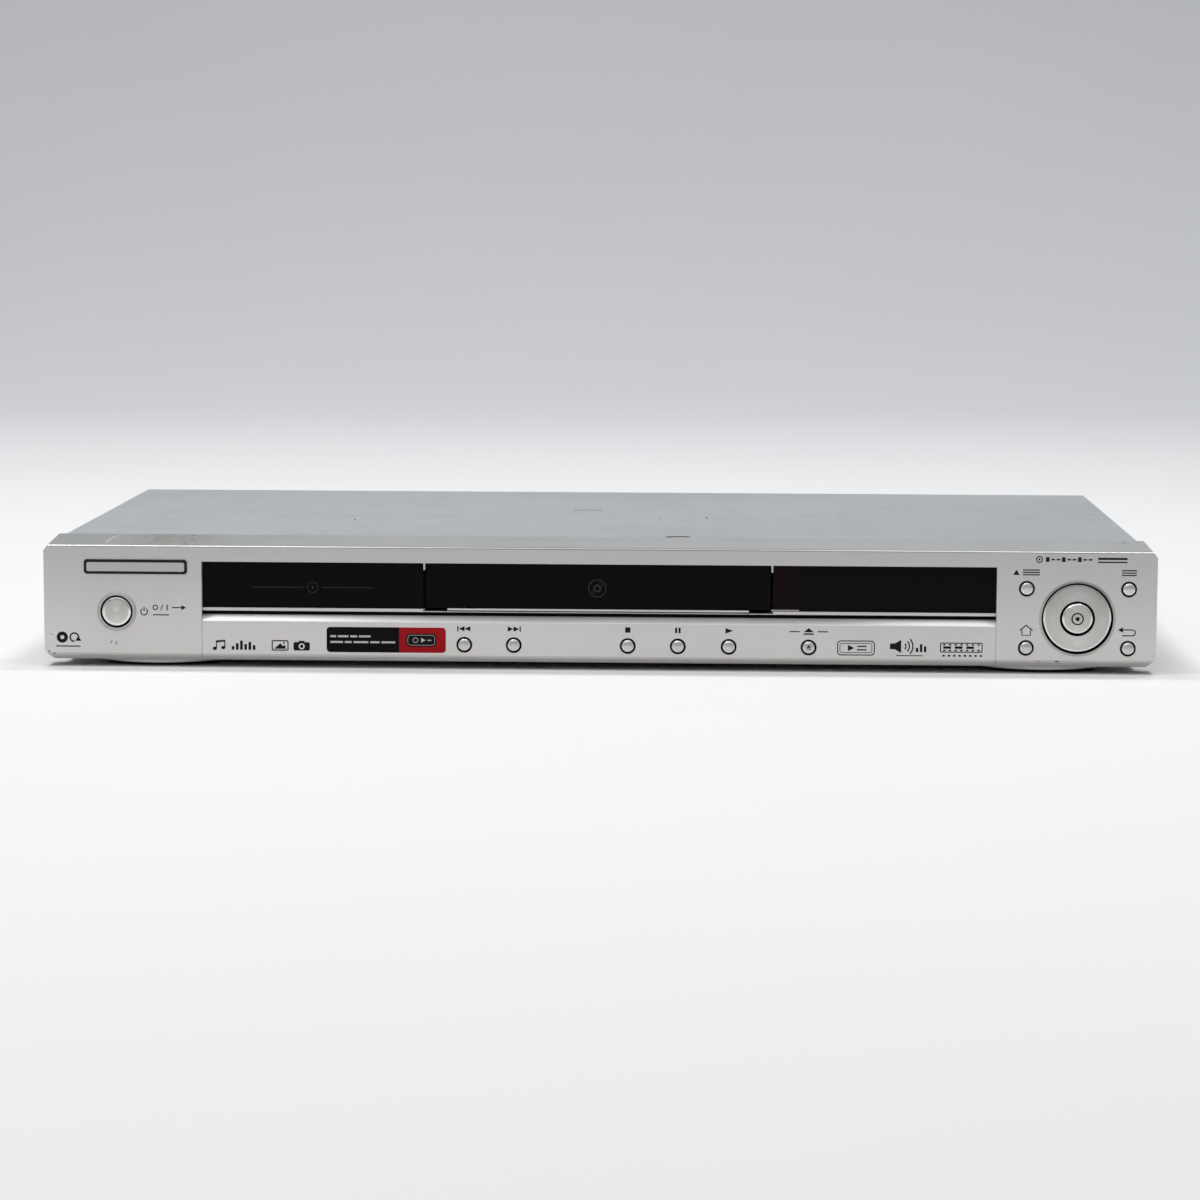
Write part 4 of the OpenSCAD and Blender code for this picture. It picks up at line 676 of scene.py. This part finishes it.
stand_on(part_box("enter_button")[0][1] + 0.02 * MM, "enter_mark", soft_ink, [
    hoop(x, z, 2.1, 0.5, thick=0.2), patch(arc(x, z, 0.8), thick=0.2)], body="enter_button")

# Functions at the left: a disc with a loop over a rule, a note with level bars, a picture with a camera.
stand_on(front_y, "disc_mark", dark_ink, [
    hoop(-203.2, 11.1, 1.45, 1.4), line(arc(-198.6, 11.1, 1.6, -30, 270), 0.6),
    patch([(-197.2, 11.4), (-195.9, 9.8), (-198.3, 9.7)]), rule(-205.6, -196.3, 7.7, 0.45)])
stand_on(front_y, "music_mark", dark_ink, [
    patch(arc(-145.1, 7.3, 0.8, flat=0.8)), patch(arc(-141.9, 7.6, 0.8, flat=0.8)),
    block(-144.5, 8.8, 0.4, 3.0), block(-141.3, 9.1, 0.4, 3.0),
    patch([(-144.7, 9.5), (-141.1, 9.9), (-141.1, 10.6), (-144.7, 10.3)]),
    *level_bars(-138.2, 6.8, 1.6, 1.0, (1.4, 2.5, 3.5, 2.2, 3.0, 1.8))])
x, z = -112.1, 8.3
stand_on(front_y, "picture_mark", dark_ink, [
    line(rounded(-123.3, -117.3, 6.8, 10.4, 0.5), 0.45, closed=True),
    patch([(-122.6, 7.3), (-120.2, 9.4), (-119.2, 8.3), (-118.6, 8.9), (-118.0, 7.3)]),
    patch(arc(-118.8, 9.6, 0.35, steps=16)),
    patch(rounded(x - 3.1, x + 3.1, z - 1.6, z + 1.6, 0.6), arc(x, z, 1.15)),
    block(x, z + 1.8, 2.2, 0.6), patch(arc(x, z, 0.65))])

# Functions at the right: a framed play sign, a loudspeaker with level bars, a film strip, and the title.
stand_on(front_y, "play_frame_mark", dark_ink, [
    line(rounded(90.5, 104.3, 6.7, 12.0, 1.2), 0.4, closed=True),
    line(rounded(91.4, 103.4, 7.6, 11.1, 0.7), 0.25, closed=True),
    patch(arrowhead(95.6, 9.35, 2.4, 2.4)), block(99.6, 10.0, 3.6, 0.5), block(99.6, 8.7, 3.6, 0.5)])
stand_on(front_y, "sound_mark", dark_ink, [
    patch([(110.2, 9.0), (112.0, 9.0), (114.4, 7.6), (114.4, 12.6), (112.0, 11.2), (110.2, 11.2)]),
    *[line(arc(114.6, 10.1, r, -42, 42, 12), 0.5) for r in (1.6, 2.9, 4.2)],
    *level_bars(120.4, 8.0, 1.5, 0.9, (1.6, 3.0, 2.2)), rule(112.5, 122.5, 6.6, 0.35)])
stand_on(front_y, "film_mark", dark_ink, [
    line(rounded(129.2, 144.8, 8.1, 11.5, 0.3), 0.4, closed=True),
    *block_row(130.6, 8.75, 2.15, 7, 0.9, 0.55), *block_row(130.6, 10.85, 2.15, 7, 0.9, 0.55),
    *block_row(131.7, 9.8, 4.3, 3, 2.9, 0.9), *block_row(130.4, 6.7, 2.0, 8, 0.9, 0.7)])
stand_on(front_y, "title_mark", soft_ink, [
    hoop(165.7, 43.4, 1.1, 0.42), patch(arc(165.7, 43.4, 0.4, steps=16)),
    *[block(168.8 + 2.0 * i, 43.4, 1.35, 0.6 if i % 3 else 1.8) for i in range(9)],
    block(193.1, 43.8, 11.0, 0.8), block(193.1, 42.5, 11.0, 0.5)])

# The end of the sill's bright edge in front of the infrared window.
glass_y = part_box("left_window")[0][1]
sill_edge = ink("sill_edge", (0.62, 0.61, 0.60), 0.4)
stand_on(glass_y, "infrared_edge", sill_edge, [block(70.7, 22.95, 10.4, 0.5)])

# Faint marks on the glass: a fine rule with a disc in it, and rings with two short arcs on the door.
x, z = -108.2, 30.4
stand_on(glass_y, "window_mark", pale_ink, [
    rule(-131.6, -111.4, z, 0.3), rule(-105.0, -84.9, z, 0.3), hoop(x, z, 2.0, 0.3),
    patch(arc(x, z, 0.5, steps=16))])
x, z = -0.3, 30.8
stand_on(glass_y, "door_mark", pale_ink, [
    hoop(x, z, 3.3, 0.4), hoop(x, z, 1.2, 0.7),
    *[line(arc(x, z, 2.35, start, start + 50, 8), 0.3) for start in (20, 200)]], body="tray")

# ---------------------------------------------------------------- sticker and badge
# A vinyl sticker on the lower strip, half black and half red, with plain bars and a framed disc on it,
# and a blank badge plate at the left: a silver plate with a thin dark rim.
vinyl = Shader("sticker_vinyl")
halves = vinyl.mix(vinyl.axes()[0] > -75.1 * MM, (0.0045, 0.0045, 0.0045), (0.36, 0.010, 0.014))
vinyl.set(Base_Color=halves, Roughness=0.34, Specular_IOR_Level=0.06)
stand_on(front_y, "sticker", vinyl.material, [patch(rounded(-102.6, -57.4, 6.2, 15.8, 1.4), thick=0.16)])
sticker_ink = ink("sticker_ink", (0.60, 0.60, 0.58))
sticker_black = ink("sticker_black", (0.005, 0.005, 0.005), 0.35)
dashes = []
for z, lengths in [(12.3, (2.2, 4.0, 2.6, 4.4)), (10.1, (4.8, 2.6, 5.6, 3.6, 5.2))]:
    x = -101.2
    for length in lengths:
        dashes.append(block(x + length / 2, z, length, 0.75, thick=0.22))
        x += length + 0.7
stand_on(front_y, "sticker_bars", sticker_ink, dashes)
z = 11.0
stand_on(front_y, "sticker_frame_back", sticker_black, [
    patch(rounded(-72.4, -61.0, z - 2.5, z + 2.5, 1.5), thick=0.22)])
stand_on(front_y, "sticker_frame", sticker_ink, [
    line(rounded(-71.8, -61.6, z - 1.9, z + 1.9, 1.1), 0.25, closed=True, thick=0.3),
    hoop(-68.9, z, 0.9, 0.35, thick=0.3), patch(arrowhead(-65.9, z, 1.7, 1.8), thick=0.3),
    block(-63.6, z, 1.4, 0.4, thick=0.3)])

dress("badge_plate", ink("badge_rim", (0.02, 0.02, 0.022), 0.35), 0.12)
badge_silver = Shader("badge_silver")
brushed = badge_silver.mix(badge_silver.noise(7000, 1), (0.48, 0.475, 0.465), (0.58, 0.575, 0.565))
badge_silver.set(Base_Color=brushed, Roughness=0.28, Metallic=0.8)
low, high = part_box("badge_plate")
x0, x1, z0, z1 = (edge / MM for edge in (low[0], high[0], low[2], high[2]))
rim = 1.05
stand_on(low[1], "badge_face", badge_silver.material, [
    patch(rounded(x0 + rim, x1 - rim, z0 + rim, z1 - rim, 0.6), thick=0.12)])

# ---------------------------------------------------------------- wear
# Small marks of use: two nicks under the power key, chips along the lower edge and at the corners,
# a bright scratch on the top strip and a dark curved one, a smear and three specks on the cover.
nick = ink("nick", (0.05, 0.045, 0.04), 0.6)
stand_on(front_y, "front_nicks", nick, [line(points, width) for width, points in [
    (0.28, [(-184.7, 9.0), (-184.3, 10.0)]), (0.3, [(-182.8, 8.5), (-182.5, 9.6)]),
    (0.25, [(165.6, 4.9), (166.4, 4.8)]), (0.4, [(172.2, 4.9), (173.7, 4.8)]),
    (0.12, [(-208.2, 12.6), (-206.6, 11.9)]),
    (0.35, [(-206.5, 5.0), (-205.6, 4.9)]), (0.4, [(-208.6, 5.9), (-207.9, 5.5)])]])

strip_back, strip_slope = front_y + 11.4 * MM, 3 / 10.9


def stroke_on_top(name, material, points, width, slope=0.0):
    """A flat stroke on the cover, or on the strip in front of it with the strip's slope."""
    piece = line(points, width, thick=0.08)
    for vertex in piece.data.vertices:
        vertex.co.z += strip_top + slope * (vertex.co.y - strip_back)
    piece.name = name
    piece.data.materials.append(material)
    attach(piece, "case")


stroke_on_top("cover_scratch", nick, [(25.5, -93.3), (28.2, -91.6), (31.2, -91.0), (34.4, -92.2)], 3.6)
smear = ink("smear", (0.26, 0.245, 0.225), 0.6)
stroke_on_top("cover_smear", smear, [(-14.0, 14.4), (-8.5, 16.2), (-2.5, 15.4)], 2.6)
for index, (x, y, length) in enumerate([(-99.3, -34.0, 3.2), (22.0, -17.6, 2.4), (40.6, -17.0, 4.0)]):
    stroke_on_top("cover_speck_%d" % index, nick, [(x, y), (x + 0.1, y + length)], 0.7)
bright_scratch = ink("bright_scratch", (0.85, 0.84, 0.80), 0.4)
scratch = [(-186.6, -104.4), (-185.9, -101.4), (-184.6, -98.6), (-182.4, -96.9)]
stroke_on_top("strip_scratch", bright_scratch, scratch, 0.35, strip_slope)

# ---------------------------------------------------------------- rear sockets
# One black moulded block carries the phono sockets: plated sleeves, each with a coloured insert and a
# collar of the same colour. Two screws hold the block behind the sheet.
YELLOW, WHITE, RED = (0.70, 0.42, 0.01), (0.72, 0.72, 0.69), (0.45, 0.012, 0.012)
GREEN, BLUE, ORANGE = (0.02, 0.25, 0.05), (0.012, 0.05, 0.35), (0.62, 0.17, 0.01)
PLATED = (0.72, 0.70, 0.66)
LOWER_ROW, UPPER_ROW = 18.6, 32.6
SIGNALS = [(140, LOWER_ROW, YELLOW), (154, LOWER_ROW, WHITE), (168, LOWER_ROW, RED),
           (182, LOWER_ROW, ORANGE), (140, UPPER_ROW, GREEN), (154, UPPER_ROW, BLUE), (168, UPPER_ROW, RED)]
contact_r, insert_r, sleeve_r, collar_r = 1.8 * MM, 3.2 * MM, 4.25 * MM, 5.4 * MM
rear_y, nose_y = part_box("rear_panel")[1][1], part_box("av_jack_block")[1][1]
sockets = Shader("phono_block")
y = sockets.axes()[1]
colour = sockets.mix(sockets.noise(2500, 2), (0.016, 0.016, 0.018), (0.024, 0.024, 0.026))
plated = 0.0
for x, z, signal in SIGNALS:
    away = sockets.off_axis(x * MM, z * MM)
    insert = away.between(contact_r, insert_r) * (y > nose_y - 0.3 * MM)
    sleeve = away.between(insert_r, sleeve_r) * (y > rear_y + 0.3 * MM)
    collar = away.between(sleeve_r, collar_r) * (y > rear_y + 0.05 * MM)
    colour = sockets.mix(insert + collar, colour, signal)
    colour = sockets.mix(sleeve, colour, PLATED)
    plated = sleeve + plated
sockets.set(Base_Color=colour, Metallic=plated, Roughness=0.38 - plated * 0.16)
dress("av_jack_block", sockets.material, 0.2)

# ---------------------------------------------------------------- cover
# Sheet steel folded down at both sides, with a matt silver-grey powder coat that is rubbed and marked by
# use. Screws hold its sides.


def powder_coat(name):
    """A grainy coat with faint clouds, scuffs, rubbed spots, fine hairlines and dark dots."""
    coat = Shader(name)
    grain = coat.noise(2600, 2)
    scuff = coat.noise(70, 6, 0.75).step(0.48, 0.72)
    rub = coat.spots((260, 4, 0.7), (0.56, 0.70), (17, 2), (0.42, 0.6))
    across, along, _ = coat.axes()
    streak = coat.node("ShaderNodeCombineXYZ", {}, across * 0.06, along * 1.6, 0.0)
    hairlines = coat.spots((1500, 3, 0.6, streak), (0.66, 0.74), (14, 3), (0.48, 0.62))
    dots = coat.spots((300, 2), (0.75, 0.79), (21, 2), (0.52, 0.6))
    tone = coat.mix(grain.step(0.3, 0.7), (0.375, 0.385, 0.395), (0.445, 0.455, 0.465))
    tone = coat.mix(coat.noise(9, 4).step(0.3, 0.75) * 0.4, tone, (0.33, 0.335, 0.34))
    tone = coat.mix(scuff * 0.4, tone, (0.29, 0.295, 0.295))
    tone = coat.mix(rub * 0.55, tone, (0.25, 0.25, 0.245))
    tone = coat.mix(hairlines * 0.5, tone, (0.27, 0.27, 0.27))
    tone = coat.mix(dots * 0.8, tone, (0.10, 0.10, 0.10))
    return coat.set(Base_Color=tone, Roughness=0.45 + grain * 0.12, Metallic=0.35,
                    Normal=coat.bump(grain, 0.00002, 0.5))


cover_coat = powder_coat("cover_coat")
dress("top_cover", cover_coat, 0.12)

# ---------------------------------------------------------------- everything else
# Plain finishes of the inner and hidden pieces, one for each material in the record. The solids that lie
# hidden under the dressed copies get one of the finishes above.


def plain_finish(name, tone, rough, metal=0.0):
    """A moulded, pressed or plated surface with a fine grain and slight unevenness."""
    finish = Shader(name)
    speck, cloud = finish.noise(2500, 2), finish.noise(20, 3)
    colour = finish.mix(speck, scaled(tone, 0.9), scaled(tone, 1.08))
    colour = finish.mix(cloud.step(0.3, 0.8) * 0.25, colour, scaled(tone, 0.85))
    return finish.set(Base_Color=colour, Roughness=rough + cloud * 0.1, Metallic=metal,
                      Normal=finish.bump(speck, 0.00001, 0.4))


FINISHES = {
    "silver_paint": panel_paint,
    "cover_paint": cover_coat,
    "zinc_steel": plain_finish("zinc_steel", (0.50, 0.51, 0.52), 0.34, 0.85),
    "black_plastic": plain_finish("black_plastic", (0.022, 0.022, 0.024), 0.42),
    "rubber": plain_finish("rubber", (0.015, 0.015, 0.015), 0.7),
    "steel": plain_finish("bright_steel", (0.6, 0.6, 0.6), 0.25, 1.0),
    "black_steel": plain_finish("black_screw", (0.05, 0.05, 0.05), 0.35, 0.7),
    "aluminium": plain_finish("aluminium", (0.7, 0.7, 0.72), 0.3, 1.0),
    "board_green": plain_finish("board_green", (0.03, 0.16, 0.07), 0.35),
    "board_tan": plain_finish("board_tan", (0.42, 0.30, 0.16), 0.5),
    "component": plain_finish("component_black", (0.03, 0.03, 0.035), 0.4),
    "white_plastic": plain_finish("white_plastic", (0.72, 0.72, 0.68), 0.4),
    "tape_yellow": plain_finish("winding_tape", (0.6, 0.45, 0.08), 0.4),
    "glass_tube": plain_finish("display_glass", (0.05, 0.07, 0.07), 0.1),
    "brass": plain_finish("brass", (0.65, 0.5, 0.22), 0.3, 1.0),
    "key_silver": panel_paint,
    "black_gloss": door_black,
    "smoked_window": window_smoked,
    "red_window": window_red,
}
slots = {p["node"]: p["material_slot"] for p in frame["record"]["subparts"]}
for node, solid in frame["nodes"].items():
    for slot in solid.material_slots:
        slot.material = FINISHES[slots[node]]
